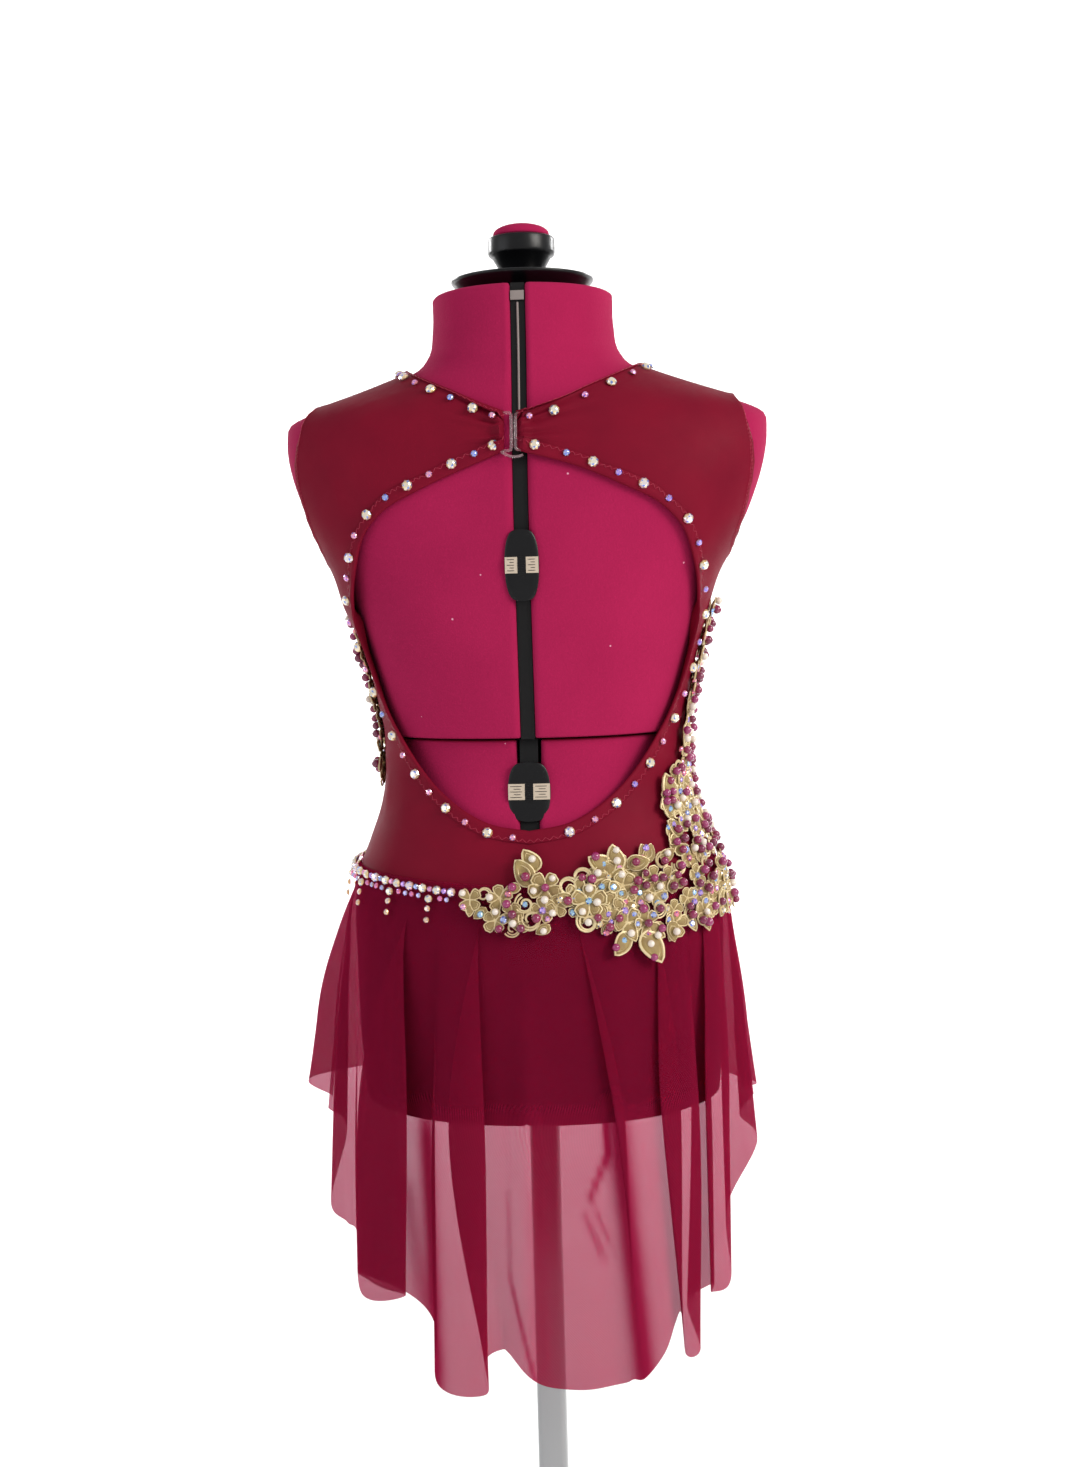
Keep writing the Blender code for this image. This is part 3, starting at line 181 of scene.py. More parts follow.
@dataclass(frozen=True)
class BrushedJersey(Finish):
    """Foam-backed knit with a brushed face: matt, with a soft halo, a grain and a few pale specks."""

    shade: str = "#8C1440"
    loop_mm: float = 1.3
    fleck: str = "#E9A5BF"
    lint_mm: float = 26.0

    def detail(self, tree: Tree) -> dict:
        """Draws the nap, slow colour drift and pale lint.

        Args:
            tree: The material's tree.

        Returns:
            The shader inputs that it sets.
        """
        where = add_node(tree, "ShaderNodeTexCoord").outputs["Object"]
        slow = add_node(tree, NOISE, {"Vector": where, "Scale": grains(60.0), "Detail": 2.0})
        drift = add_node(tree, RANGE, {"Value": slow, "To Max": 0.55})
        base = add_node(tree, MIX, {0: drift, 6: self.colour, 7: self.shade}, data_type="RGBA")
        nap = add_node(tree, NOISE, {"Vector": where, "Scale": grains(self.loop_mm), "Detail": 4.0})
        deep = add_node(tree, RANGE, {"Value": nap, "To Max": 0.35})
        tone = add_node(tree, MIX, {0: deep, 6: base, 7: self.shade}, data_type="RGBA")
        lint = add_node(tree, "ShaderNodeTexVoronoi", {"Vector": where, "Scale": grains(self.lint_mm)})
        speck = add_node(tree, MATH, {0: lint, 1: 0.028}, operation="LESS_THAN")
        return {
            "Base Color": add_node(tree, MIX, {0: speck, 6: tone, 7: self.fleck}, data_type="RGBA"),
            "Normal": add_node(tree, "ShaderNodeBump", {"Height": nap, "Distance": 0.25 * MM}),
        }


@dataclass(frozen=True)
class StretchJersey(Finish):
    """Nylon and elastane knit: fine uneven wales down the cloth and a low satin gloss."""

    shade: str = "#5E0A22"
    wale_mm: float = 0.9

    def detail(self, tree: Tree) -> dict:
        """Draws wales down the cloth, wider than the real 0.4 mm ones so that they show.

        Args:
            tree: The material's tree.

        Returns:
            The shader inputs that it sets.
        """
        where = add_node(tree, "ShaderNodeUVMap", uv_map="cloth")
        long = add_node(tree, "ShaderNodeMapping", {"Vector": where, "Scale": (1.0, 0.06, 1.0)})
        wales = add_node(tree, NOISE, {"Vector": long, "Scale": grains(self.wale_mm)})
        space = add_node(tree, "ShaderNodeTexCoord").outputs["Object"]
        slow = add_node(tree, NOISE, {"Vector": space, "Scale": grains(34.0), "Detail": 3.0})
        drift = add_node(tree, RANGE, {"Value": slow, "To Max": 0.6})
        fine = add_node(tree, NOISE, {"Vector": space, "Scale": grains(0.8)})
        height = add_node(tree, MATH, {0: wales, 1: 1.2, 2: fine}, operation="MULTIPLY_ADD")
        wear = add_node(tree, NOISE, {"Vector": space, "Scale": grains(9.0)})
        return {
            "Base Color": add_node(tree, MIX, {0: drift, 6: self.colour, 7: self.shade}, data_type="RGBA"),
            "Normal": add_node(tree, "ShaderNodeBump", {"Height": height, "Distance": 0.05 * MM}),
            "Roughness": self.rough(wear, 0.06, 0.1, tree),
        }


@dataclass(frozen=True)
class StretchNet(Finish):
    """Sheer nylon stretch net: each layer lets a third of the light by, so folds stack up darker."""

    cell_mm: float = 1.7
    depth: float = 0.07

    def detail(self, tree: Tree) -> dict:
        """Draws cells far wider than the real 0.6 mm ones, so that overlapping layers shimmer.

        Args:
            tree: The material's tree.

        Returns:
            The shader inputs that it sets.
        """
        cloth = add_node(tree, "ShaderNodeUVMap", uv_map="cloth")
        split = add_node(tree, "ShaderNodeSeparateXYZ", {0: cloth})
        waves = []
        for axis, pitch in ((0, self.cell_mm), (1, self.cell_mm * 0.8)):
            turns = {0: split.outputs[axis], 1: 2 * math.pi * grains(pitch)}
            phase = add_node(tree, MATH, turns, operation="MULTIPLY")
            waves.append(add_node(tree, MATH, {0: phase}, operation="SINE"))
        cells = add_node(tree, MATH, {0: waves[0], 1: waves[1]}, operation="MULTIPLY")
        space = add_node(tree, "ShaderNodeTexCoord").outputs["Object"]
        slow = add_node(tree, NOISE, {"Vector": space, "Scale": grains(45.0)})
        drift = add_node(tree, RANGE, {"Value": slow, "To Min": -0.03, "To Max": 0.03})
        veil = add_node(tree, MATH, {0: cells, 1: self.depth, 2: drift}, operation="MULTIPLY_ADD")
        # Denser bands read from the panel: partly thread seen edge-on in soft folds, partly painted fold
        # shade.
        gather = add_node(tree, "ShaderNodeAttribute", attribute_name="gather").outputs["Fac"]
        dense = add_node(tree, MATH, {0: gather, 1: self.alpha})
        return {"Alpha": add_node(tree, MATH, {0: veil, 1: dense}, use_clamp=True)}


@dataclass(frozen=True)
class MetalThread(Finish):
    """Corded metallic yarn: a soft gold that changes along each cord, with a rope's twist."""

    shade: str = "#8E7440"
    twist_mm: float = 0.9

    def detail(self, tree: Tree) -> dict:
        """Draws the twist as bump and the wear of the metal as paler and darker stretches.

        Args:
            tree: The material's tree.

        Returns:
            The shader inputs that it sets.
        """
        where = add_node(tree, "ShaderNodeTexCoord").outputs["Object"]
        slow = add_node(tree, NOISE, {"Vector": where, "Scale": grains(5.0), "Detail": 3.0})
        drift = add_node(tree, RANGE, {"Value": slow, "To Max": 0.8})
        twist = add_node(tree, NOISE, {"Vector": where, "Scale": grains(self.twist_mm)})
        return {
            "Base Color": add_node(tree, MIX, {0: drift, 6: self.colour, 7: self.shade}, data_type="RGBA"),
            "Normal": add_node(tree, "ShaderNodeBump", {"Height": twist, "Distance": 0.3 * MM}),
            "Roughness": self.rough(twist, 0.12, 0.18, tree),
        }


@dataclass(frozen=True)
class Lacquer(Finish):
    """Pearl lacquer over a round bead, in each copy's own tint."""

    def detail(self, tree: Tree) -> dict:
        """Reads the copy's tint."""
        return {"Base Color": add_node(tree, "ShaderNodeAttribute", attribute_name="tint")}


@dataclass(frozen=True)
class CutGlass(Finish):
    """Cut glass over foil with a rainbow coating: each facet has its own share of three tints, as a painted
    reflection.
    """

    warm: str = "#FFE9B8"
    cool: str = "#7FA0FF"
    rose: str = "#FF5FB0"

    def detail(self, tree: Tree) -> dict:
        """Gives each facet the stone's tint, and some facets a painted reflection: the coating's warm, cool
        and rose flashes.

        Args:
            tree: The material's tree.

        Returns:
            The shader inputs that it sets.
        """
        tint = add_node(tree, "ShaderNodeAttribute", attribute_name="tint")
        facet = add_node(tree, "ShaderNodeAttribute", attribute_name="facet").outputs["Fac"]
        # Fixed colours on each facet paint the coating's reflected flashes.
        flash_paint = add_node(tree, "ShaderNodeValToRGB", {0: facet})
        ramp = flash_paint.color_ramp
        ramp.interpolation = "CONSTANT"
        ramp.elements[0].color = linear("#FFFFFF")
        ramp.elements[1].position, ramp.elements[1].color = 0.3, linear(self.warm)
        for place, colour in ((0.5, self.cool), (0.66, "#FFFFFF"), (0.82, self.rose)):
            ramp.elements.new(place).color = linear(colour)
        mixed = add_node(tree, MIX, {0: 0.75, 6: flash_paint, 7: tint}, data_type="RGBA", blend_type="MULTIPLY")
        return {"Base Color": mixed}


@dataclass(frozen=True)
class Moulded(Finish):
    """Injection-moulded plastic or sprayed enamel: an even colour with a faint uneven gloss."""

    grain_mm: float = 3.0

    def detail(self, tree: Tree) -> dict:
        """Varies the gloss a little, and adds a very low moulding texture.

        Args:
            tree: The material's tree.

        Returns:
            The shader inputs that it sets.
        """
        where = add_node(tree, "ShaderNodeTexCoord").outputs["Object"]
        grain = add_node(tree, NOISE, {"Vector": where, "Scale": grains(self.grain_mm), "Detail": 3.0})
        bump = add_node(tree, "ShaderNodeBump", {"Height": grain, "Distance": 0.04 * MM})
        return {"Roughness": self.rough(grain, 0.07, 0.1, tree), "Normal": bump}


@dataclass(frozen=True)
class DrawnMetal(Finish):
    """Anodised or plated bar: fine draw lines along its length."""

    line_mm: float = 0.5

    def detail(self, tree: Tree) -> dict:
        """Stretches noise along Z so that it reads as draw lines.

        Args:
            tree: The material's tree.

        Returns:
            The shader inputs that it sets.
        """
        where = add_node(tree, "ShaderNodeTexCoord").outputs["Object"]
        long = add_node(tree, "ShaderNodeMapping", {"Vector": where, "Scale": (1.0, 1.0, 0.01)})
        lines = add_node(tree, NOISE, {"Vector": long, "Scale": grains(self.line_mm)})
        bump = add_node(tree, "ShaderNodeBump", {"Height": lines, "Distance": 0.03 * MM})
        return {"Roughness": self.rough(lines, 0.08, 0.12, tree), "Normal": bump}


FORM_JERSEY = BrushedJersey(
    "brushed_foam_jersey", "#B62356", 0.95, sheen=0.06, sheen_colour="#FF7FA8", gloss=0.1
)
BODICE_JERSEY = StretchJersey("burgundy_stretch_jersey", "#84102A", 0.55, gloss=0.07)
# The bodice's jersey made much darker: painted shade for the seat and front under the skirt.
TRUNK_JERSEY_PAINTED_SHADE = StretchJersey("burgundy_trunk_jersey", "#30040F", 0.65, gloss=0.05)
SEWING_THREAD = Finish("polyester_thread", "#A81F40", 0.55)
SKIRT_NET = StretchNet("burgundy_stretch_net", "#A01B43", 0.7, ior=1.0, alpha=0.7, clear=0.46, gloss=0.0)
GOLD_CORD = MetalThread("gold_corded_yarn", "#F4E6BE", 0.4, metallic=0.3, shade="#CDB074")
GOLD_GIMP = MetalThread("pale_gold_filling", "#B9A468", 0.6, metallic=0.15, shade="#6A4438", twist_mm=0.7)
PEARL = Lacquer("pearl_lacquer", "#F3E9E0", 0.18, coat=0.6, ior=1.6)
CRYSTAL = CutGlass("foiled_crystal", "#FFFFFF", 0.08, metallic=0.6, coat=0.5, ior=1.6)
BLACK_ABS = Moulded("black_abs", "#08080B", 0.3, gloss=0.35)
MATT_ABS = Moulded("matt_black_abs", "#0A0A0C", 0.5, gloss=0.3)
SCALE_CARD = Moulded("printed_scale_card", "#C9B9A6", 0.6)
SCALE_INK = Finish("scale_ink", "#2B2526", 0.6)
CLEAR_NYLON = Finish("clear_nylon", "#E3C2CB", 0.12, ior=1.3, alpha=0.5, clear=0.7, coat=0.5)
POLE_METAL = DrawnMetal("anodised_aluminium", "#A9AAAC", 0.36, metallic=0.6)
ROD_METAL = DrawnMetal("plated_rod", "#8E8380", 0.5, metallic=0.1)
BASE_ENAMEL = Moulded("black_enamel", "#1B1B1E", 0.35, coat=0.2)
WALL_PAINT = Finish("matt_white_paint", "#F4F4F4", 0.9)
STONE_TINTS = ("#9FB6FF", "#FF9AD6", "#8FD0FF", "#FF4D8C", "#C48CFF", "#FFE6A8", "#E03A78")


def through(knots: Sequence[float], values: Array, at: Array) -> Array:
    """Reads a smooth curve through rows of values; it never overshoots a turning point.

    Args:
        knots: Rising places of the rows.
        values: One value or one row of values for each knot.
        at: The places to read.

    Returns:
        The values there.
    """
    knots, values = np.asarray(knots, float), np.asarray(values, float)
    at = np.clip(np.asarray(at, float), knots[0], knots[-1])
    steps = np.diff(knots)
    wide = values.reshape(len(knots), -1)
    secants = np.diff(wide, axis=0) / steps[:, None]
    slopes = np.empty_like(wide)
    slopes[0], slopes[-1] = secants[0], secants[-1]
    share = (steps[1:] / (steps[:-1] + steps[1:]))[:, None]
    slopes[1:-1] = share * secants[:-1] + (1.0 - share) * secants[1:]
    slopes[1:-1][secants[:-1] * secants[1:] <= 0.0] = 0.0
    span = np.clip(np.searchsorted(knots, at, side="right") - 1, 0, len(steps) - 1)
    t = ((at - knots[span]) / steps[span])[..., None]
    step = steps[span][..., None]
    made = (1 + 2 * t) * (1 - t) ** 2 * wide[span] + t * (1 - t) ** 2 * step * slopes[span]
    made = made + t * t * (3 - 2 * t) * wide[span + 1] + t * t * (t - 1) * step * slopes[span + 1]
    return made[..., 0] if values.ndim == 1 else made


def run_of(points: Array) -> Array:
    """Distance along a line of points, from 0 at its start."""
    return np.concatenate([[0.0], np.cumsum(np.linalg.norm(np.diff(points, axis=0), axis=1))])


def read(at: Array | float, run: Array, rows: Array) -> Array:
    """Rows read in between, at distances along their line."""
    return np.stack([np.interp(at, run, rows[:, i]) for i in range(rows.shape[1])], axis=-1)


def along(points: Array, shares: Array) -> Array:
    """Points at the given shares of a line's length."""
    run = run_of(points)
    return read(shares * run[-1], run, points)


def spread(points: Array, count: int) -> Array:
    """Places count + 1 points evenly along a line of points."""
    return along(points, np.linspace(0.0, 1.0, count + 1))


def smooth_line(points: Array, count: int) -> Array:
    """A smooth line of count points through a few points."""
    run = run_of(points)
    return through(run, points, np.linspace(0.0, run[-1], count))


def joined(spans: Sequence[Array]) -> Array:
    """Spans that share end points, as one line."""
    return np.concatenate([spans[0], *(span[1:] for span in spans[1:])])


def unit(vectors: Array) -> Array:
    """Vectors at length one."""
    return vectors / np.maximum(np.linalg.norm(vectors, axis=-1, keepdims=True), 1e-12)


def turned_way(turn: float, ahead: Array, up: Array) -> Array:
    """The way at a turn from ahead towards up."""
    return ahead * math.cos(math.radians(turn)) + up * math.sin(math.radians(turn))


@dataclass(frozen=True)
class Body:
    """The dress form's skin, as level sections that all cloth is measured from.

    A section is its height, half width, back depth, front depth and squareness.
    """

    sections: tuple = (
        (678, 122, 90, 84, 2.20), (720, 125.5, 93, 86, 2.20), (778, 126.5, 93, 86, 2.20),
        (820, 126, 90, 84, 2.20), (843, 122, 86, 82, 2.20), (862, 114.5, 82, 79, 2.20),
        (886, 106, 76, 76, 2.20), (914, 102, 72.5, 74, 2.20), (935, 102, 72.5, 75, 2.20),
        (957, 105.5, 74.5, 79, 2.20), (992, 113, 79, 88, 2.25), (1027, 123, 83, 94, 2.30),
        (1044, 129, 84, 94, 2.35), (1062, 139, 84, 92, 2.50), (1079, 149, 84, 89, 2.60),
        (1096, 156, 83.5, 85, 2.70), (1113, 161.5, 82, 79, 2.80), (1131, 165, 78.5, 71, 2.75),
        (1145, 165.5, 74.5, 66, 2.50), (1152, 162.5, 72.5, 64, 2.25), (1160, 144.5, 70.5, 62, 1.95),
        (1167, 124, 68.5, 60.5, 1.75), (1174, 103.5, 67, 59.5, 1.68), (1181, 84.5, 65.5, 59, 1.72),
        (1187, 72.5, 64.5, 59, 1.85), (1194, 66.5, 63.5, 59, 2.00), (1212, 62.5, 62, 59, 2.00),
        (1235, 62, 61, 59, 2.00),
    )

    def at(self, height: Array) -> Array:
        """Half width, back depth, front depth and squareness at any heights."""
        table = np.array(self.sections)
        return np.moveaxis(through(table[:, 0], table[:, 1:], height), -1, 0)

    def gauge(self, points: Array) -> Array:
        """Measures how far out points are.

        Args:
            points: Points of space.

        Returns:
            1 on the skin, less inside it and more outside.
        """
        x, y, z = np.moveaxis(points, -1, 0)
        half, back, front, power = self.at(z)
        depth = np.where(y < 0.0, back, front)
        return ((np.abs(x) / half) ** power + (np.abs(y) / depth) ** power) ** (1.0 / power)

    def slope(self, points: Array, step: float = 0.05) -> Array:
        """Gradient of the gauge, by small differences."""
        rises = [self.gauge(points + s) - self.gauge(points - s) for s in np.eye(3) * step]
        return np.stack(rises, axis=-1) / (2 * step)

    def onto(self, points: Array, steps: int = 3) -> Array:
        """Moves points onto the skin, square to it.

        Args:
            points: Points near the skin.
            steps: Rounds of moving.

        Returns:
            The moved points.
        """
        points = np.array(points, float)
        for _ in range(steps):
            slope = self.slope(points)
            size = np.maximum((slope**2).sum(-1, keepdims=True), 1e-9)
            move = (self.gauge(points) - 1.0)[..., None] * slope / size
            length = np.linalg.norm(move, axis=-1, keepdims=True)
            points -= move * np.minimum(1.0, 12.0 / np.maximum(length, 1e-9))
        return points

    def normal(self, points: Array) -> Array:
        """Outward directions of the skin."""
        return unit(self.slope(points))

    def section(self, angle: Array, height: Array, grow: Array | float = 0.0) -> Array:
        """Points of level sections.

        Args:
            angle: Angles round the body.
            height: Heights.
            grow: How far each section is grown outwards.

        Returns:
            The points.
        """
        angle, height = np.broadcast_arrays(np.radians(angle), np.asarray(height, float))
        half, back, front, power = self.at(height)
        side, ahead = np.sin(angle), -np.cos(angle)
        depth = np.where(ahead < 0.0, back, front) + grow
        ray = ((np.abs(side) / (half + grow)) ** power + (np.abs(ahead) / depth) ** power) ** (-1.0 / power)
        return np.stack([ray * side, ray * ahead, height], axis=-1)

    def seen(self, across: Array, height: Array, way: float, flank: bool = False) -> Array:
        """Points of the skin seen level from one side.

        Args:
            across: Places across the view, along X, or along Y on the flank.
            height: Heights.
            way: -1 for the back, 1 for the front and the right flank.
            flank: Whether the right flank is meant.

        Returns:
            The points.
        """
        across, height = np.broadcast_arrays(np.asarray(across, float), np.asarray(height, float))
        half, back, front, power = self.at(height)
        deep = np.where((across if flank else way) < 0.0, back, front)
        wide, reach = (deep, half) if flank else (half, deep)
        out = way * reach * np.clip(1.0 - (np.abs(across) / wide) ** power, 0.0, 1.0) ** (1.0 / power)
        return np.stack([out, across, height] if flank else [across, out, height], axis=-1)

    def back(self, x: Array, height: Array) -> Array:
        """Points of the back seen at x and a height from behind."""
        return self.seen(x, height, -1.0)

    def front(self, x: Array, height: Array) -> Array:
        """Points of the front seen at x and a height from the front."""
        return self.seen(x, height, 1.0)

    def flank(self, y: Array, height: Array) -> Array:
        """Points of the right flank seen at y and a height from the side."""
        return self.seen(y, height, 1.0, flank=True)


BODY = Body()


def add_mesh(name: str, points: Array, faces: Faces, smooth_below: float = 180.0) -> Piece:
    """Makes an object from points in millimetres.

    Args:
        name: The piece's name.
        points: Points in millimetres.
        faces: Faces that look outwards.
        smooth_below: The widest angle in degrees between faces that still shades smooth.

    Returns:
        The new object, at the origin.
    """
    mesh = bpy.data.meshes.new(name)
    mesh.from_pydata((np.asarray(points, float) * MM).tolist(), [], [tuple(map(int, f)) for f in faces])
    mesh.shade_smooth()
    if smooth_below < 180.0:
        mesh.set_sharp_from_angle(angle=math.radians(smooth_below))
    made = bpy.data.objects.new(name, mesh)
    bpy.context.scene.collection.objects.link(made)
    return made


def set_cloth_map(made: Piece, measure: Array) -> None:
    """Gives a mesh the map of its cloth in metres.

    Args:
        made: The piece.
        measure: Millimetres along and across the cloth, for each point.
    """
    layer = made.data.uv_layers.new(name="cloth")
    corners = np.empty(len(made.data.loops), dtype=np.int32)
    made.data.loops.foreach_get("vertex_index", corners)
    layer.data.foreach_set("uv", (measure[corners] * MM).astype(np.float32).ravel())


def flipped(faces: Faces) -> Faces:
    """Faces turned to look the other way."""
    return [tuple(reversed(face)) for face in faces]


def ring_ends(rings: int, size: int) -> Faces:
    """Faces that close the first and the last of a row of rings."""
    return [tuple(reversed(range(size))), tuple((rings - 1) * size + c for c in range(size))]


def grid_quads(rows: int, columns: int, start: int = 0, closed: bool = False, looped: bool = False) -> Faces:
    """Faces of a grid of points stored row by row.

    Args:
        rows: Number of rows.
        columns: Points in a row.
        start: Number of the first point.
        closed: Whether each row ends where it starts.
        looped: Whether the last row joins the first.

    Returns:
        The faces.
    """
    quads = []
    for r in range(rows if looped else rows - 1):
        a, b = start + r * columns, start + (r + 1) % rows * columns
        for c in range(columns if closed else columns - 1):
            d = (c + 1) % columns
            quads.append((a + c, a + d, b + d, b + c))
    return quads


def sheet_faces(rows: int, columns: int) -> Faces:
    """Faces of a closed sheet.

    Args:
        rows: Rows of points of the outer grid.
        columns: Points in a row.

    Returns:
        Faces of the outer grid, of the inner one whose points follow it, and of the rim.
    """
    count, last = rows * columns, (rows - 1) * columns
    skin = grid_quads(rows, columns)
    faces = skin + flipped([tuple(count + i for i in face) for face in skin])
    for c in range(columns - 1):
        faces.append((c, count + c, count + c + 1, c + 1))
        faces.append((last + c, last + c + 1, count + last + c + 1, count + last + c))
    for r in range(rows - 1):
        a, b = r * columns, (r + 1) * columns
        faces.append((a, b, count + b, count + a))
        a, b = a + columns - 1, b + columns - 1
        faces.append((a, count + a, count + b, b))
    return faces


def add_wall(name: str, outer: Array, out: Array, wall: float) -> Piece:
    """Makes a closed sheet of cloth from the grid of its outer face.

    Args:
        name: The piece's name.
        outer: Grid of outer points.
        out: Outward direction at each point.
        wall: Thickness.

    Returns:
        The new object, with the map of its cloth.
    """
    rows, columns = outer.shape[:2]
    points = np.concatenate([outer.reshape(-1, 3), (outer - out * wall).reshape(-1, 3)])
    faces = sheet_faces(rows, columns)
    r, c = rows // 2, columns // 2
    if np.cross(outer[r, c + 1] - outer[r, c], outer[r + 1, c] - outer[r, c]) @ out[r, c] < 0.0:
        faces = flipped(faces)
    made = add_mesh(name, points, faces, 60.0)
    across = np.cumsum(np.linalg.norm(np.diff(outer, axis=1), axis=-1), axis=1)
    down = np.cumsum(np.linalg.norm(np.diff(outer, axis=0), axis=-1), axis=0)
    u, v = np.pad(across, ((0, 0), (1, 0))), np.pad(down, ((1, 0), (0, 0)))
    set_cloth_map(made, np.tile(np.stack([u, v], axis=-1).reshape(-1, 2), (2, 1)))
    return made


def add_turned(
    name: str, profile: Sequence, sides: int = 72, smooth_below: float = 35.0, ring: bool = False
) -> Piece:
    """Makes a turned solid about the pole's axis.

    Args:
        name: The piece's name.
        profile: Heights and radii, foot first.
        sides: Sides of each ring.
        smooth_below: The widest angle between faces that shades smooth.
        ring: Whether the profile closes on itself, as for a ring, and not at the axis.

    Returns:
        The new object.
    """
    turn = np.radians(np.arange(sides) * 360.0 / sides)
    rings = [np.stack([r * np.cos(turn), r * np.sin(turn), np.full(sides, z)], axis=1) for z, r in profile]
    faces = grid_quads(len(profile), sides, closed=True, looped=ring)
    if not ring:
        last, foot = (len(profile) - 1) * sides, len(profile) * sides
        rings.append(np.array([[0, 0, profile[0][0]], [0, 0, profile[-1][0]]]))
        for c in range(sides):
            d = (c + 1) % sides
            faces += [(d, c, foot), (last + c, last + d, foot + 1)]
    return add_mesh(name, np.concatenate(rings), faces, smooth_below)


def tube_parts(line: Array, radius: float, sides: int, closed: bool = False) -> tuple[Array, Faces]:
    """Makes a round tube along a line.

    Args:
        line: Its centre line.
        radius: Its radius.
        sides: Sides of each ring.
        closed: Whether the line closes on itself.

    Returns:
        Points and faces.
    """
    ahead = np.roll(line, -1, axis=0) - np.roll(line, 1, axis=0) if closed else np.gradient(line, axis=0)
    tangent = unit(ahead)
    guide = np.where(np.abs(tangent[:, 2:3]) > 0.9, [[0.0, 1.0, 0.0]], [[0.0, 0.0, 1.0]])
    side = unit(np.cross(tangent, guide))
    up = np.cross(side, tangent)
    turn = np.radians(np.arange(sides) * 360.0 / sides)[None, :, None]
    rings = line[:, None] + radius * (side[:, None] * np.cos(turn) + up[:, None] * np.sin(turn))
    faces = grid_quads(len(line), sides, closed=True, looped=closed)
    if not closed:
        faces += ring_ends(len(line), sides)
    flip = np.cross(side[0], up[0]) @ tangent[0] < 0
    return rings.reshape(-1, 3), flipped(faces) if flip else faces


def add_tube(name: str, line: Array, radius: float, sides: int, closed: bool = False) -> Piece:
    """Makes a round tube a piece, from what tube_parts takes."""
    return add_mesh(name, *tube_parts(line, radius, sides, closed), 60.0)


def settle(made: Piece, finish: Finish, slot: Slot, *nodes: str) -> Piece:
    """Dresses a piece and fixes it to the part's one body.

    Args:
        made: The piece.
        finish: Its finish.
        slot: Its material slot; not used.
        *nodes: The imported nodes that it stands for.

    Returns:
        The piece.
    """
    made.data.materials.clear()
    made.data.materials.append(finish.material())
    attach(made, ROOT)
    if nodes:
        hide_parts(*nodes)
    LOG.info("%s: %d faces", made.name, len(made.data.polygons))
    return made


@dataclass
class Copies:
    """Copies of one small shape, each at its own place, placed by Geometry Nodes and then made plain."""

    name: str
    finish: Finish
    slot: Slot
    places: list = field(default_factory=list)
    turns: list = field(default_factory=list)
    sizes: list = field(default_factory=list)
    tints: list = field(default_factory=list)

    def add(
        self, place: Array, ahead: Array, out: Array, size: Sequence[float] | float,
        tint: str = "#FFFFFF", flip: bool = False,
    ) -> None:
        """Adds one copy.

        Args:
            place: Where its foot stands, in millimetres.
            ahead: The way of its own X.
            out: The way of its own Z, out of the cloth.
            size: Its scale along its own axes, in millimetres for a unit shape.
            tint: Its colour, for a finish that reads one.
            flip: Whether it is turned over about its length, so that it bends the other way.
        """
        size = np.ones(3) * size
        z = unit(np.asarray(out, float))
        x = unit(ahead - z * (ahead @ z))
        y = np.cross(z, x)
        if flip:
            y, z, place = -y, -z, place + z * size[2] * 0.14
        self.places.append(np.asarray(place, float) * MM)
        self.turns.append(Matrix((x, y, z)).transposed().to_euler("XYZ")[:])
        self.sizes.append(size * MM)
        self.tints.append(linear(tint))

    def build(self, shape: Piece, *nodes: str) -> None:
        """Makes all copies one plain mesh and settles it.

        Args:
            shape: The shape that is repeated; it is removed afterwards.
            *nodes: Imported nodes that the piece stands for.
        """
        cloud = bpy.data.meshes.new(self.name)
        cloud.from_pydata([tuple(p) for p in self.places], [], [])
        for key, kind, value, rows in (
            ("turn", "FLOAT_VECTOR", "vector", self.turns),
            ("size", "FLOAT_VECTOR", "vector", self.sizes),
            ("tint", "FLOAT_COLOR", "color", self.tints),
        ):
            layer = cloud.attributes.new(key, kind, "POINT")
            layer.data.foreach_set(value, np.asarray(rows, np.float32).ravel())
        host = bpy.data.objects.new(self.name + "_places", cloud)
        bpy.context.scene.collection.objects.link(host)
        modifier = host.modifiers.new("copies", "NODES")
        modifier.node_group = copies_tree(self.name, self.finish.material())
        values = {"Shape": shape, "Scale": 1.0}
        for item in modifier.node_group.interface.items_tree:
            if item.name in values:
                modifier[item.identifier] = values[item.name]
        bpy.context.view_layer.update()
        ready = host.evaluated_get(bpy.context.evaluated_depsgraph_get())
        made = bpy.data.objects.new(self.name, bpy.data.meshes.new_from_object(ready))
        host.modifiers.clear()
        bpy.data.objects.remove(host)
        bpy.data.objects.remove(shape)
        bpy.context.scene.collection.objects.link(made)
        settle(made, self.finish, self.slot, *nodes)


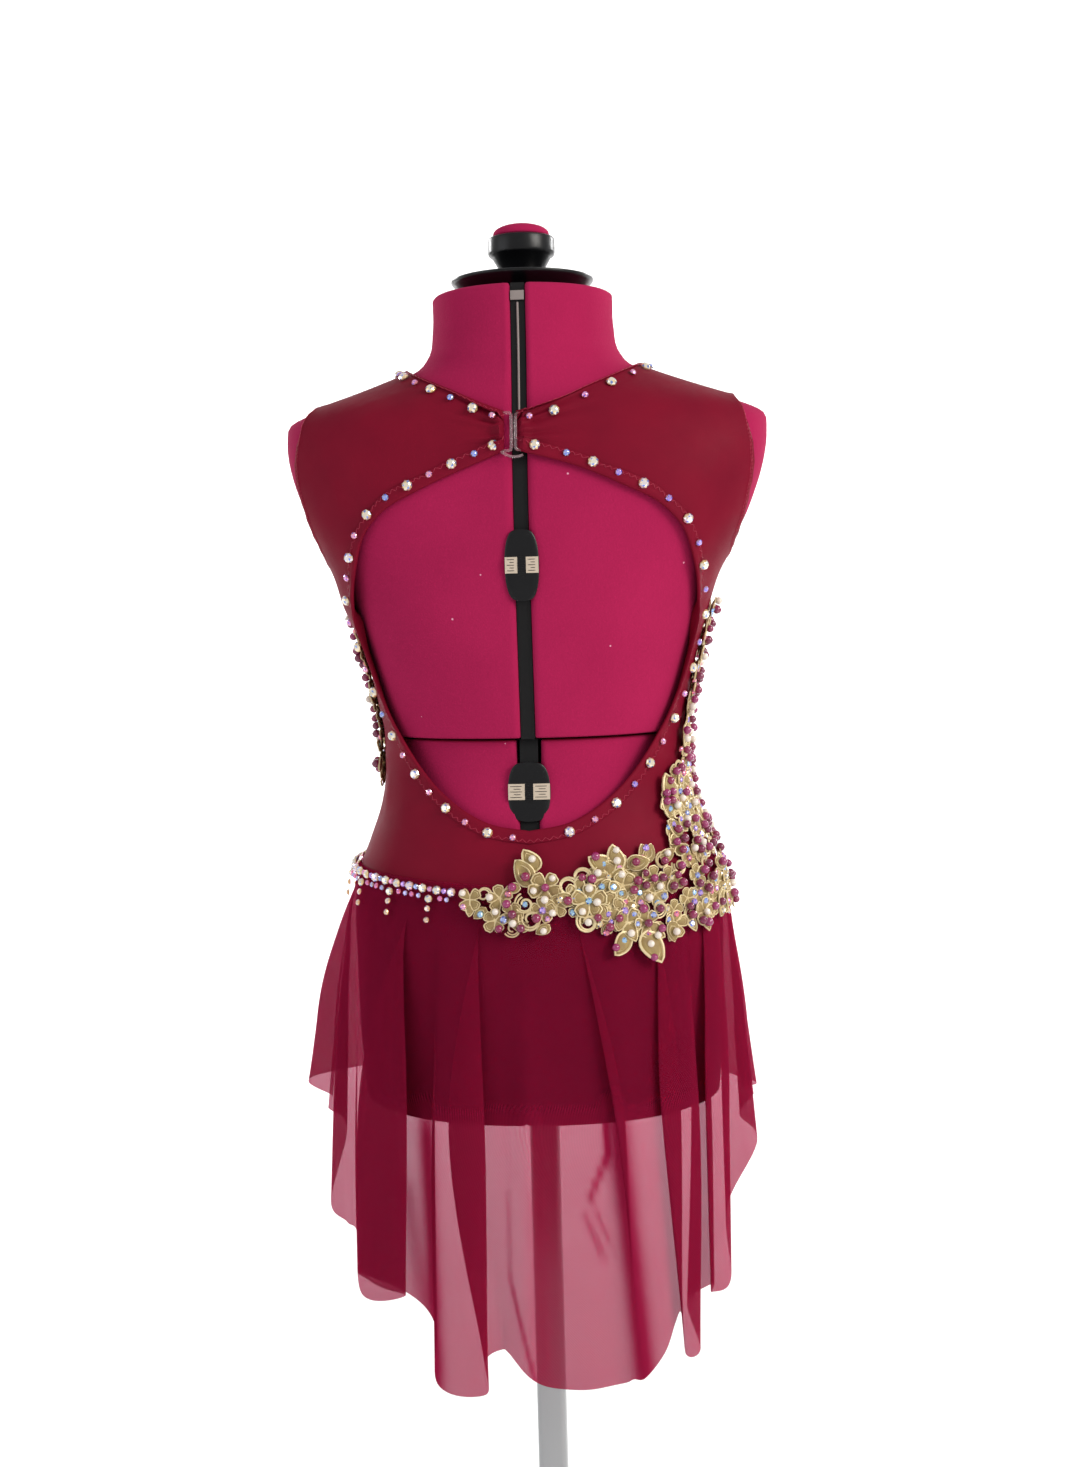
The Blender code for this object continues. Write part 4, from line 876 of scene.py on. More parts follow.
def copies_tree(name: str, material: bpy.types.Material) -> Tree:
    """Builds the Geometry Nodes tree that stands a shape on each point by the point's turn and size.

    Args:
        name: The tree's name.
        material: What the copies are made of.

    Returns:
        The tree.
    """
    tree = bpy.data.node_groups.new(name, "GeometryNodeTree")
    for key, way, kind in (
        ("Places", "INPUT", "Geometry"), ("Shape", "INPUT", "Object"), ("Scale", "INPUT", "Float"),
        ("Copies", "OUTPUT", "Geometry"),
    ):
        tree.interface.new_socket(key, in_out=way, socket_type="NodeSocket" + kind)
    enter = add_node(tree, "NodeGroupInput").outputs
    turn = add_node(tree, "GeometryNodeInputNamedAttribute", {"Name": "turn"}, data_type="FLOAT_VECTOR")
    size = add_node(tree, "GeometryNodeInputNamedAttribute", {"Name": "size"}, data_type="FLOAT_VECTOR")
    facing = add_node(tree, "FunctionNodeEulerToRotation", {0: turn})
    scaled = add_node(tree, "ShaderNodeVectorMath", {0: size, "Scale": enter["Scale"]}, operation="SCALE")
    shape = add_node(tree, "GeometryNodeObjectInfo", {"Object": enter["Shape"]}).outputs["Geometry"]
    links = {"Points": enter["Places"], "Instance": shape, "Rotation": facing, "Scale": scaled}
    stood = add_node(tree, "GeometryNodeInstanceOnPoints", links)
    plain = add_node(tree, "GeometryNodeRealizeInstances", {"Geometry": stood})
    dressed = add_node(tree, "GeometryNodeSetMaterial", {"Geometry": plain, "Material": material})
    add_node(tree, "NodeGroupOutput", {"Copies": dressed})
    return tree


def unit_shape(
    name: str, points: Array, faces: Faces, smooth_below: float, facet: Sequence[float] | None = None
) -> Piece:
    """Makes a shape for Copies, whose sizes are shares of one.

    Args:
        name: Its name.
        points: Its points.
        faces: Its faces.
        smooth_below: The widest angle between faces that shades smooth.
        facet: Each face's tone, where its finish reads one; the cut glass turns it into a painted reflection.

    Returns:
        The shape.
    """
    made = add_mesh(name, np.asarray(points, float) / MM, faces, smooth_below)
    tones = made.data.attributes.new("facet", "FLOAT", "FACE")
    tones.data.foreach_set("value", np.asarray(facet or [0.0] * len(faces), np.float32))
    return made


def rings_of(levels: Sequence[tuple[float, ...]], sides: int) -> list[tuple[float, ...]]:
    """Points of level rings, each from its height, its radius and its turn in sides."""
    ways = [(z, r, 2 * math.pi * (c + shift) / sides) for z, r, shift in levels for c in range(sides)]
    return [(r * math.cos(t), r * math.sin(t), z) for z, r, t in ways]


def bead_shape(sides: int = 12, rings: int = 7) -> Piece:
    """Makes a round bead of diameter one that stands on its foot.

    Args:
        sides: Sides of each ring.
        rings: Steps from the foot to the top.

    Returns:
        The shape.
    """
    slopes = [math.pi * r / rings for r in range(1, rings)]
    levels = [(0.5 - 0.5 * math.cos(a), 0.5 * math.sin(a), 0.0) for a in slopes]
    points = [(0.0, 0.0, 0.0), *rings_of(levels, sides), (0.0, 0.0, 1.0)]
    top, last = len(points) - 1, 1 + (rings - 2) * sides
    faces = [(0, 1 + (c + 1) % sides, 1 + c) for c in range(sides)]
    faces += grid_quads(rings - 1, sides, 1, closed=True)
    faces += [(last + c, last + (c + 1) % sides, top) for c in range(sides)]
    return unit_shape("bead_shape", points, faces, 180.0)


def stone_shape(sides: int = 8) -> Piece:
    """Makes a cut round stone of diameter one: a table, star facets, and a crown down to its setting.

    Args:
        sides: Sides of the stone.

    Returns:
        The shape.
    """
    points = rings_of(((0.0, 0.5, 0.0), (0.1, 0.5, 0.0), (0.3, 0.38, 0.5), (0.4, 0.24, 0.0)), sides)
    foot, table = ring_ends(4, sides)
    faces = [foot, *grid_quads(2, sides, closed=True)]
    # Each facet's tone picks its painted reflection in the cut-glass finish.
    tones = [0.2] + [0.35] * sides
    for base in (1, 2):
        for c in range(sides):
            a, b = base * sides + c, base * sides + (c + 1) % sides
            e, f = a + sides, b + sides
            faces += [(a, b, e), (b, f, e)] if base == 1 else [(a, b, f), (a, f, e)]
            tones += [((c * 5 + base * 3) % 7) / 8.0, ((c * 3 + base) % 5) / 5.0]
    return unit_shape("stone_shape", points, [*faces, table], 1.0, [*tones, 0.75])


def stitch_shape(sides: int = 5) -> Piece:
    """Makes one stitch of length one along X: a thread that dips in at both ends.

    Args:
        sides: Sides of the thread.

    Returns:
        The shape.
    """
    bow = np.linspace(-0.5, 0.5, 5)
    line = np.stack([bow, 0 * bow, 0.5 * np.cos(bow * math.pi) - 0.1], axis=1)
    points, faces = tube_parts(line, 0.5, sides)
    points[:, 0] = np.clip(points[:, 0], -0.5, 0.5)
    return unit_shape("stitch_shape", points, faces, 180.0)


def round_half(t: Array) -> Array:
    """Half width of a blunt petal of length one, widest towards its end."""
    return 0.03 + 0.48 * t**0.7 * np.sqrt(np.maximum(1.0 - t**5, 0.0))


def leaf_half(t: Array) -> Array:
    """Half width of a pointed leaf of length one."""
    return 0.02 + 0.32 * np.sin(np.pi * t**0.8) ** 0.8


@dataclass(frozen=True)
class Petal:
    """A petal of length one along X: its outline, and how far its tip hooks to one side."""

    half: Callable[[Array], Array]
    hook: float
    dome: float = 0.1

    def place(self, t: Array, across: Array | float, up: Array | float) -> Array:
        """Points at shares along and across the petal."""
        return np.stack([t, across * self.half(t) + self.hook * t * t, up + 0.05 * t], axis=-1)

    def filling(self, steps: int = 7, columns: int = 4) -> Piece:
        """Makes the domed filling between the cords, as a closed sheet.

        Args:
            steps: Steps along the petal.
            columns: Steps across it.

        Returns:
            The shape.
        """
        down, wide = np.linspace(0.02, 0.97, steps + 1), np.linspace(-1.0, 1.0, columns + 1)
        t, s = np.meshgrid(down, wide, indexing="ij")
        rise = self.dome * (1 - s * s) * np.sin(np.pi * np.minimum(t * 1.05, 1.0)) + 0.03
        top = self.place(t, s, rise).reshape(-1, 3)
        points = np.concatenate([top, top - np.array([0.0, 0.0, 0.05])])
        return unit_shape("petal_shape", points, flipped(sheet_faces(steps + 1, columns + 1)), 180.0)

    def outline(self, share: float, steps: int) -> Array:
        """Draws a closed line round the petal.

        Args:
            share: Its share of the petal's size, about its middle.
            steps: Steps along one side.

        Returns:
            The points.
        """
        t = np.linspace(0.0, 1.0, steps + 1)
        sides = [self.place(t[1:-1], way, 0.05) for way in (1.0, -1.0)]
        ends = self.place(t[[0, -1]], 0.0, 0.05)
        line = np.concatenate([ends[:1], sides[0], ends[1:], sides[1][::-1]])
        middle = np.array([0.58, self.hook * 0.34, 0.05 + self.dome * (1 - share)])
        return middle + (line - middle) * np.array([share, share, 1.0])

    def cords(self, cord: float = 0.05, inner: float = 0.6) -> Piece:
        """Makes the cord round the petal and a finer one inside it.

        Args:
            cord: Radius of the outer cord.
            inner: Size of the inner cord's loop.

        Returns:
            The shape.
        """
        points, faces = tube_parts(self.outline(1.0, 8), cord, 5, closed=True)
        more, more_faces = tube_parts(self.outline(inner, 6), cord * 0.7, 4, closed=True)
        faces += [tuple(len(points) + i for i in face) for face in more_faces]
        return unit_shape("cord_shape", np.concatenate([points, more]), faces, 60.0)


def scroll_shape(turns: float = 1.2, cord: float = 0.045) -> Piece:
    """Makes a scroll of two cords, of size one: a band that curls in on itself.

    Args:
        turns: How often it curls round.
        cord: Radius of its cords.

    Returns:
        The shape.
    """
    t = np.linspace(0.0, 1.0, 26)
    angle = turns * 2 * np.pi * t
    parts, faces = [], []
    for shrink in (0.0, 0.16):
        radius = (0.5 - shrink * (1 - t)) * (1 - 0.72 * t)
        curl = np.stack([radius * np.sin(angle), -radius * np.cos(angle), 0.07 + 0.05 * t], axis=1)
        points, more = tube_parts(curl, cord, 5)
        faces += [tuple(len(points) * len(parts) + i for i in face) for face in more]
        parts.append(points)
    return unit_shape("scroll_shape", np.concatenate(parts), faces, 60.0)


@dataclass(frozen=True)
class Crease:
    """One soft ridge (or trough, where its height is below zero) laid on cloth."""

    at: Array
    way: tuple[float, float, float]
    length: float
    width: float
    height: float

    def rise(self, points: Array) -> Array:
        """Measures how far the cloth stands out for this crease.

        Args:
            points: Points of the cloth.

        Returns:
            The rise at each point.
        """
        apart = points - self.at
        run = apart @ unit(np.array(self.way))
        aside = (apart**2).sum(-1) - run**2
        return self.height * np.exp(-((run / self.length) ** 2) - aside / self.width**2)


@dataclass
class DressForm:
    """The adjustable form: eight padded shells round a black spine, neck fittings, dials and stand."""

    foot: float = 678.0
    top: float = 1235.0
    waist: tuple[float, float] = (934.0, 936.0)
    upper_slot: float = 5.0
    lower_slot: float = 6.5
    edge_round: float = 3.2
    waist_round: float = 1.5
    lower_step: float = 6.0
    lower_step_fade: float = 60.0
    arc_steps: int = 34
    level_steps: int = 84
    pole_half: float = 10.3
    pole_corner: float = 4.0
    cap: tuple = (
        (1235.6, 36), (1235.7, 38), (1238, 40), (1241.4, 45), (1243.4, 47.8), (1244.4, 48.7),
        (1245.2, 49), (1246, 48.9), (1246.4, 48.2), (1246.1, 46), (1245.6, 30), (1246.4, 24),
        (1248.4, 22), (1249.3, 15.5),
    )
    knob: tuple = (
        (1249.6, 13.6), (1250.2, 14.2), (1252, 14.8), (1261.6, 20.2), (1262.4, 21.8), (1263.4, 22.7),
        (1264.8, 23), (1272.8, 23), (1274.2, 22.6), (1274.9, 21.4), (1275, 19.8),
    )
    cushion_foot: tuple = ((1275.4, 19.0), (1276.2, 19.6), (1277.4, 19.2))
    cushion_rise: float = 6.8
    hub: tuple = ((664, 24), (664.4, 27), (666, 31), (669, 35), (671, 36), (676.6, 36), (677.6, 35))
    base: tuple = (
        (0, 184), (0.6, 186.4), (2, 187.8), (4, 188), (6, 187.2), (7.6, 184), (9, 174), (11.6, 152),
        (13.4, 110), (14.6, 70), (15, 50),
    )
    collar: tuple = (
        (15.3, 21), (16.3, 22), (18, 22), (19, 20.6), (52, 19.4), (53, 21.2), (56, 21.2), (57.3, 20),
        (57.3, 14.5), (56.6, 13.5), (16, 13.5), (15.3, 14.5),
    )

    def inset(self, height: Array) -> Array:
        """How far the hip shells are set in under the bust shells, fading down from the waist gap."""
        share = np.clip((height - (self.waist[0] - self.lower_step_fade)) / self.lower_step_fade, 0.0, 1.0)
        return self.lower_step * share * share * (3.0 - 2.0 * share)

    def ring(self, sides: tuple[float, float], slot: float, height: float, inset: float) -> Array:
        """Draws one level ring of a shell.

        Args:
            sides: Signs of its X and Y.
            slot: Half width of the slots beside it.
            height: Its height.
            inset: How far it lies inside the skin.

        Returns:
            Its outer arc with rounded corners, then its corner by the axis.
        """
        half, back, front, power = (float(v) for v in BODY.at(height))
        half -= inset
        depth = (back if sides[1] < 0 else front) - inset
        start, r = slot + inset * 0.3, self.edge_round
        y_first = depth * (1.0 - (start / half) ** power) ** (1.0 / power)
        x_last = half * (1.0 - (start / depth) ** power) ** (1.0 / power)
        turn = np.linspace(math.atan2(y_first, start), math.atan2(start, x_last), self.arc_steps + 1)
        ray = ((np.cos(turn) / half) ** power + (np.sin(turn) / depth) ** power) ** (-1.0 / power)
        arc = np.stack([ray * np.cos(turn), ray * np.sin(turn)], axis=1)
        steps = np.radians(90.0 * np.arange(4) / 4)
        corner = [(r * (1 - math.sin(a)), r * (1 - math.cos(a))) for a in steps]
        head = [(start, y_first - r - 1.0)] + [(start + d, y_first - s) for d, s in reversed(corner)]
        tail = [(x_last - s, start + d) for d, s in corner] + [(x_last - r - 1.0, start)]
        keep = arc[(arc[:, 0] > start + r) & (arc[:, 1] > start + r)]
        plan = np.concatenate([spread(np.array([*head, *keep, *tail]), 2 * self.arc_steps), [[start, start]]])
        return np.column_stack([plan * np.array(sides), np.full(len(plan), height)])

    def shell(self, name: str, sides: tuple[float, float], hip: bool) -> None:
        """Builds one quarter shell, with its edges rolled over, and settles it.

        Args:
            name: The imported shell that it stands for.
            sides: Signs of its X and Y.
            hip: Whether it is below the waist gap.
        """
        slot = self.lower_slot if hip else self.upper_slot
        low, high = (self.foot, self.waist[0]) if hip else (self.waist[1], self.top)
        below, above = (self.edge_round, self.waist_round) if hip else (self.waist_round, self.edge_round)
        turn = np.radians(np.linspace(0.0, 90.0, 5))
        half = np.linspace(low + below, high - above, 400)
        levels = spread(np.stack([BODY.at(half)[0], half], axis=1), self.level_steps)[:, 1]
        foot, head = turn[::-1][:-1], turn[1:]
        ends = low + below * (1 - np.sin(foot)), high - above * (1 - np.sin(head))
        heights = np.concatenate([ends[0], levels, ends[1]])
        insets = np.concatenate([below * (1 - np.cos(foot)), 0 * levels, above * (1 - np.cos(head))])
        if hip:
            insets = insets + self.inset(heights)
        rings = [self.ring(sides, slot, z, inset) for z, inset in zip(heights, insets)]
        size = len(rings[0])
        faces = flipped(grid_quads(len(rings), size, closed=True))
        corner, last = size - 1, (len(rings) - 1) * size
        for c in range(size - 2):
            faces += [(corner, c, c + 1), (last + corner, last + c + 1, last + c)]
        if sides[0] * sides[1] < 0:
            faces = flipped(faces)
        settle(add_mesh(name + "_jersey", np.concatenate(rings), faces, 50.0), FORM_JERSEY, Slot.FORM, name)

    def build(self) -> None:
        """Builds the shells, spine rods, neck fittings, stand and dials."""
        for y_name, y_side in (("back", -1.0), ("front", 1.0)):
            for side in Side:
                for part in ("hip", "bust"):
                    name = f"form_{part}_{y_name}_{side.name.lower()}"
                    self.shell(name, (side.value, y_side), part == "hip")
        self.rods()
        self.neck()
        self.stand()
        Dial("upper", 1050.0, 22.5, 46.0, 0.0).build()
        Dial("lower", 900.5, 28.5, 39.0, self.inset(900.5)).build()

    def rods(self) -> None:
        """Builds the rod and the little carrier that show in the back slot under the neck."""
        spine = bpy.data.objects["form_spine"]
        spine.data.materials.clear()
        spine.data.materials.append(MATT_ABS.material())
        line = BODY.back(0.0, np.linspace(1146.0, 1222.0, 20)) + np.array([0.0, 3.0, 0.0])
        settle(add_tube("slot_rod", line, 0.75, 12), ROD_METAL, Slot.BLACK)
        base = BODY.back(np.linspace(-4.6, 4.6, 5)[None], np.linspace(1223.6, 1229.6, 4)[:, None])
        out = BODY.normal(base)
        settle(add_wall("rod_carrier", base - out * 1.6, out, 1.0), ROD_METAL, Slot.BLACK)

    def neck(self) -> None:
        """Builds the dished cap with its thin rim, the smooth knob on its cone and the pin cushion."""
        settle(add_turned("neck_cap_gloss", self.cap, 96), BLACK_ABS, Slot.BLACK, "neck_cap")
        settle(add_turned("neck_knob_gloss", self.knob, 96), BLACK_ABS, Slot.BLACK, "neck_knob")
        edge, radius = self.cushion_foot[-1]
        turn = np.radians(np.arange(10, 90, 10))
        dome = [(edge + self.cushion_rise * math.sin(a), radius * math.cos(a)) for a in turn]
        profile = [*self.cushion_foot, *dome, (edge + self.cushion_rise, 0.6)]
        cushion = add_turned("pin_cushion_jersey", profile, 64, 180.0)
        settle(cushion, FORM_JERSEY, Slot.FORM, "pin_cushion")

    def stand(self) -> None:
        """Builds the hub, the chamfered pole, the round base, and the ring that grips the pole over it."""
        settle(add_turned("form_hub_gloss", self.hub), BLACK_ABS, Slot.BLACK, "form_hub")
        plan, middle, cut = [], self.pole_half - self.pole_corner, self.pole_corner
        for x, y, start in ((1, 1, 0), (-1, 1, 90), (-1, -1, 180), (1, -1, 270)):
            for a in np.radians(start + np.linspace(0.0, 90.0, 5)):
                plan.append((x * middle + cut * math.cos(a), y * middle + cut * math.sin(a)))
        rings = [np.column_stack([plan, np.full(len(plan), z)]) for z in (15.3, 200.0, 420.0, 663.7)]
        faces = grid_quads(4, len(plan), closed=True) + ring_ends(4, len(plan))
        pole = add_mesh("pole_tube", np.concatenate(rings), faces, 35.0)
        settle(pole, POLE_METAL, Slot.STEEL, "pole")
        settle(add_turned("base_plate_enamel", self.base, 128), BASE_ENAMEL, Slot.ENAMEL, "base_plate")
        collar = add_turned("pole_collar_enamel", self.collar, ring=True)
        settle(collar, BASE_ENAMEL, Slot.ENAMEL, "pole_collar")


@dataclass(frozen=True)
class Dial:
    """An oval plate in the back slot, with two windows on a measuring strip and a ribbed wheel between."""

    name: str
    height: float
    width: float
    length: float
    sunk: float
    rise: float = 0.8
    thick: float = 1.4
    ribs: int = 11
    wheel_reach: float = 8.0
    window_tall: float = 10.5
    window_near: float = 2.8
    ticks: int = 5

    def add_skin_wall(self, name: str, x: Array, z: Array, lift: Array | float, wall: float) -> Piece:
        """Makes a thin wall that follows the form's back.

        Args:
            name: The piece's name.
            x: Places across the back.
            z: Heights from the dial's middle.
            lift: How far its face stands out of the plate's foot.
            wall: Its thickness.

        Returns:
            The piece.
        """
        base = BODY.back(x, self.height + z)
        out = BODY.normal(base)
        return add_wall(name, base + out * (lift + self.rise + self.thick - self.sunk)[..., None], out, wall)

    def build(self) -> None:
        """Builds the plate, the ribbed thumb wheel that shows in its middle and its two windows."""
        turn = np.linspace(-1.0, 1.0, 33) * math.pi / 2
        across = np.sin(np.linspace(-1.0, 1.0, 15) * math.pi / 2)[None]
        wide = self.width / 2 * np.maximum(np.cos(turn) ** 0.5, 0.06)[:, None]
        tall = self.length / 2 * np.sin(turn)[:, None]
        sunk = -0.7 * np.abs(across) ** 8
        plate = self.add_skin_wall(f"dial_plate_{self.name}", wide * across, tall, sunk, 1.0)
        settle(plate, BLACK_ABS, Slot.BLACK, f"adjuster_plate_{self.name}")
        z = np.linspace(-self.wheel_reach, self.wheel_reach, self.ribs * 6 + 1)[:, None]
        turn = z / self.wheel_reach * math.pi
        lift = 1.3 * np.cos(turn / 2) + 0.35 * np.maximum(0.0, np.cos(turn * self.ribs)) - 0.4
        wheel = self.add_skin_wall(f"dial_wheel_{self.name}", np.linspace(-2.4, 2.4, 5)[None], z, lift, 1.2)
        settle(wheel, MATT_ABS, Slot.BLACK)
        for side in Side:
            self.window(side)

    def window(self, side: Side) -> None:
        """Builds one window: a pale strip with plain measuring ticks.

        Args:
            side: Its side of the wheel.
        """
        near, far = self.window_near, self.width / 2 - 0.4
        name = f"{self.name}_{side.name.lower()}"
        z = np.linspace(-self.window_tall / 2, self.window_tall / 2, 5)[:, None]
        x = np.sort(side.value * np.linspace(near, far, 5))[None]
        card = self.add_skin_wall(f"scale_strip_{name}", x, z, np.array([[0.5]]), 0.5)
        settle(card, SCALE_CARD, Slot.CARD, f"scale_tag_{name}")
        ticks = Copies(f"scale_ticks_{name}", SCALE_INK, Slot.CARD)
        for k in range(self.ticks):
            x = side.value * (near + far) / 2 + (k % 2 - 0.5) * 0.8
            place = BODY.back(x, self.height - 3.6 + 1.8 * k)
            way = BODY.normal(place)
            size = ((far - near - 3.2) * (0.6 if k % 2 else 1.0), 0.5, 0.4)
            place = place + way * (self.rise + self.thick - self.sunk + 0.4)
            ticks.add(place, np.array([1.0, 0.0, 0.0]), way, size)
        ticks.build(stitch_shape())


@dataclass
class Dress:
    """Measures of the dress that its pieces share."""

    cover: float = 3.0
    wall: float = 0.8
    seam_back: float = 836.5
    seam_side_rise: float = 6.5
    underarm: float = 1058.0
    shoulder_out: float = 1161.0
    shoulder_in: float = 1183.0
    seam_gap: float = 0.4
    hem_fold: float = 0.45

    def seam(self, angle: Array) -> Array:
        """Height of the hip seam round the body."""
        return self.seam_back + self.seam_side_rise * np.sin(np.radians(angle)) ** 2


DRESS = Dress()
MIRROR = np.array([-1.0, 1.0, 1.0])


def corner_shares(corners: Sequence[float], counts: Sequence[int]) -> Array:
    """Shares along an edge, with a number of even steps between each two corners."""
    return joined([np.linspace(a, b, count + 1) for a, b, count in zip(corners, corners[1:], counts)])


@dataclass
class Bodice:
    """Back with its keyhole and tabs, front, the bands that bind their edges, and their sewing.

    The outlines are of the right half, as x and height, and the armhole as depth and height. A drag line is
    its x and height, its way in x and height, its length, its width and how far it rises.
    """

    keyhole: tuple = (
        (0, 874.3), (26, 879), (60, 902), (75, 922), (91.5, 954), (103.5, 990), (110.5, 1024),
        (109.5, 1053), (103.5, 1073), (90, 1088), (66, 1100.5), (35, 1113.5),
    )
    tab_low: float = 1123.4
    tab_high: float = 1148.7
    tab_end: dict = field(default_factory=lambda: {Side.LEFT: -9.5, Side.RIGHT: -1.6})
    loop_in: dict = field(default_factory=lambda: {Side.LEFT: 3.2, Side.RIGHT: 4.6})
    back_neckline: tuple = ((70.0, 1176.5), (50.0, 1166.5), (22.0, 1154.0))
    front_neckline: tuple = ((66.0, 1172.0), (52.0, 1158.0), (28.0, 1147.0), (0.0, 1143.5))
    armhole: tuple = (
        (0, 1058), (15, 1061), (28, 1072), (37, 1090), (43, 1112), (46, 1132), (43, 1147), (33, 1155),
        (15, 1159.5), (0, 1161),
    )
    front_armhole_share: float = 0.95
    corners: tuple = (0.0, 0.24, 0.56, 0.73, 0.87, 1.0)
    back_columns: tuple = (26, 36, 26, 12, 24)
    front_corners: tuple = (0.0, 0.30, 0.62, 1.0)
    front_columns: tuple = (22, 30, 26)
    rows: int = 26
    lift: float = 4.0
    lift_reach: float = 0.45
    flank_ease: float = 5.0
    flank_height: float = 1030.0
    band: float = 8.5
    neck_band: float = 7.0
    tab_ridge: float = 3.8
    tab_gather: float = 1.2
    back_drags: tuple = (
        (96, 1142, 1, 0.22, 34, 5, 0.5), (88, 1128, 1, 0.05, 40, 5.5, -0.4), (118, 1100, 0.55, 1, 30, 6, 0.6),
        (122, 1084, 0.4, 1, 26, 5, -0.5), (-120, 1098, -0.5, 1, 34, 6, 0.8),
        (-112, 1084, -0.35, 1, 30, 6.5, -0.7), (-92, 1136, 1, -0.12, 40, 5, 0.5),
        (-80, 1122, 1, -0.3, 36, 5, -0.35), (96, 905, 0.5, 1, 30, 7, 0.6),
        (-98, 898, -0.35, 1, 38, 7, 0.9), (-104, 880, -0.2, 1, 30, 6, -0.7), (-72, 866, 1, -0.35, 44, 6, 0.5),
        (40, 862, 1, 0.25, 46, 6, 0.45),
    )
    front_drags: tuple = (
        (84, 1098, 1, 0.6, 36, 7, 0.7), (-86, 1094, 1, -0.5, 34, 7, 0.6), (60, 905, 1, 0.2, 50, 7, 0.6),
        (-50, 922, 1, -0.25, 46, 7, 0.5), (-64, 890, 1, -0.1, 44, 7, -0.5),
    )

    def side_line(self, low: float, high: float, way: float) -> Array:
        """The side or shoulder line between two heights, just behind the seam (way -1) or before it (1)."""
        heights = np.linspace(low, high, 160)
        return np.stack([BODY.at(heights)[0], np.full(160, way * DRESS.seam_gap / 2), heights], axis=1)

    def armhole_line(self, way: float) -> Array:
        """Draws the armhole edge on the right flank, from underarm to shoulder.

        Args:
            way: -1 behind, 1 in front.

        Returns:
            The points.
        """
        dense = smooth_line(np.array(self.armhole), 200)
        share, gap = 1.0 if way < 0 else self.front_armhole_share, DRESS.seam_gap / 2
        line = BODY.flank(way * np.maximum(dense[:, 0] * share, gap), dense[:, 1])
        for k, height in ((0, DRESS.underarm), (-1, DRESS.shoulder_out)):
            line[k] = (BODY.at(height)[0], way * gap, height)
        return line

    def relaxed(self, grid: Array, rounds: int) -> Array:
        """Evens the inner points of a grid that lies on the form, with its edges held.

        Args:
            grid: The grid, which is changed.
            rounds: Rounds of evening.

        Returns:
            The grid.
        """
        grid[1:-1, 1:-1] = BODY.onto(grid[1:-1, 1:-1], steps=6)
        for k in range(rounds):
            mean = (grid[:-2, 1:-1] + grid[2:, 1:-1] + grid[1:-1, :-2] + grid[1:-1, 2:]) / 4.0
            grid[1:-1, 1:-1] = BODY.onto(mean, steps=1) if k % 4 == 3 else mean
        grid[1:-1, 1:-1] = BODY.onto(grid[1:-1, 1:-1], steps=4)
        return grid

    def back_half(self, tab_end: float) -> Pair:
        """Lays out the right half of the back.

        Args:
            tab_end: Where its tab ends, in x.

        Returns:
            Rows from the keyhole outwards with columns from the bottom up, and the columns' shares.
        """
        turn = np.linspace(0.0, 90.0, 90)
        seam = BODY.section(turn, DRESS.seam(turn))
        seam[-1, 1] = -DRESS.seam_gap / 2
        neck = [BODY.flank(-DRESS.seam_gap / 2, DRESS.shoulder_in)]
        neck += [BODY.back(x, z) for x, z in (*self.back_neckline, (tab_end, self.tab_high))]
        side = self.side_line(DRESS.seam(90.0), DRESS.underarm, -1.0)
        shoulder = self.side_line(DRESS.shoulder_out, DRESS.shoulder_in, -1.0)
        neck = BODY.onto(spread(smooth_line(np.array(neck), 120), 120))
        spans = zip((seam, side, self.armhole_line(-1.0), shoulder, neck), self.back_columns)
        outer = joined([spread(span, count) for span, count in spans])
        edge = smooth_line(np.array([*self.keyhole, (tab_end, self.tab_low)]), 400)
        edge[0, 0] = 0.0
        shares = corner_shares(self.corners, self.back_columns)
        inner = along(BODY.back(edge[:, 0], edge[:, 1]), shares)
        step = np.linspace(0.0, 1.0, self.rows + 1)[:, None, None]
        return self.relaxed(inner[None] * (1 - step) + outer[None] * step, 500), shares

    def back_grid(self) -> Pair:
        """Joins both halves of the back.

        Returns:
            The grid from the left tab round under the keyhole to the right tab, and its columns' shares.
        """
        right, shares = self.back_half(self.tab_end[Side.RIGHT])
        left = self.back_half(-self.tab_end[Side.LEFT])[0][:, ::-1] * MIRROR
        return np.concatenate([left[:, :-1], right], axis=1), np.concatenate([shares[::-1][:-1], shares])

    def front_grid(self) -> Array:
        """Lays out the front.

        Returns:
            Rows from the neck outwards, with columns from the right shoulder seam round to the left one.
        """
        gap = DRESS.seam_gap / 2
        neck = [BODY.flank(gap, DRESS.shoulder_in), *(BODY.front(x, z) for x, z in self.front_neckline)]
        inner = BODY.onto(spread(smooth_line(np.array(neck), 120), 160))
        turn = np.linspace(90.0, 180.0, 90)
        seam = BODY.section(turn, DRESS.seam(turn))
        seam[0, 1], seam[-1, 0] = gap, 0.0
        side = self.side_line(DRESS.underarm, DRESS.seam(90.0), 1.0)
        spans = zip((self.armhole_line(1.0)[::-1], side, seam), self.front_columns)
        outer = joined([spread(span, count) for span, count in spans])
        shares = corner_shares(self.front_corners, self.front_columns)
        step = np.linspace(0.0, 1.0, self.rows + 1)
        right = along(inner, shares)[None] * (1 - step[:, None, None]) + outer[None] * step[:, None, None]
        drop = (DRESS.shoulder_in - DRESS.shoulder_out) * step[1:-1]
        right[1:-1, 0] = BODY.flank(gap, DRESS.shoulder_in - drop)
        return self.relaxed(np.concatenate([right, (right[:, ::-1] * MIRROR)[:, 1:]], axis=1), 900)

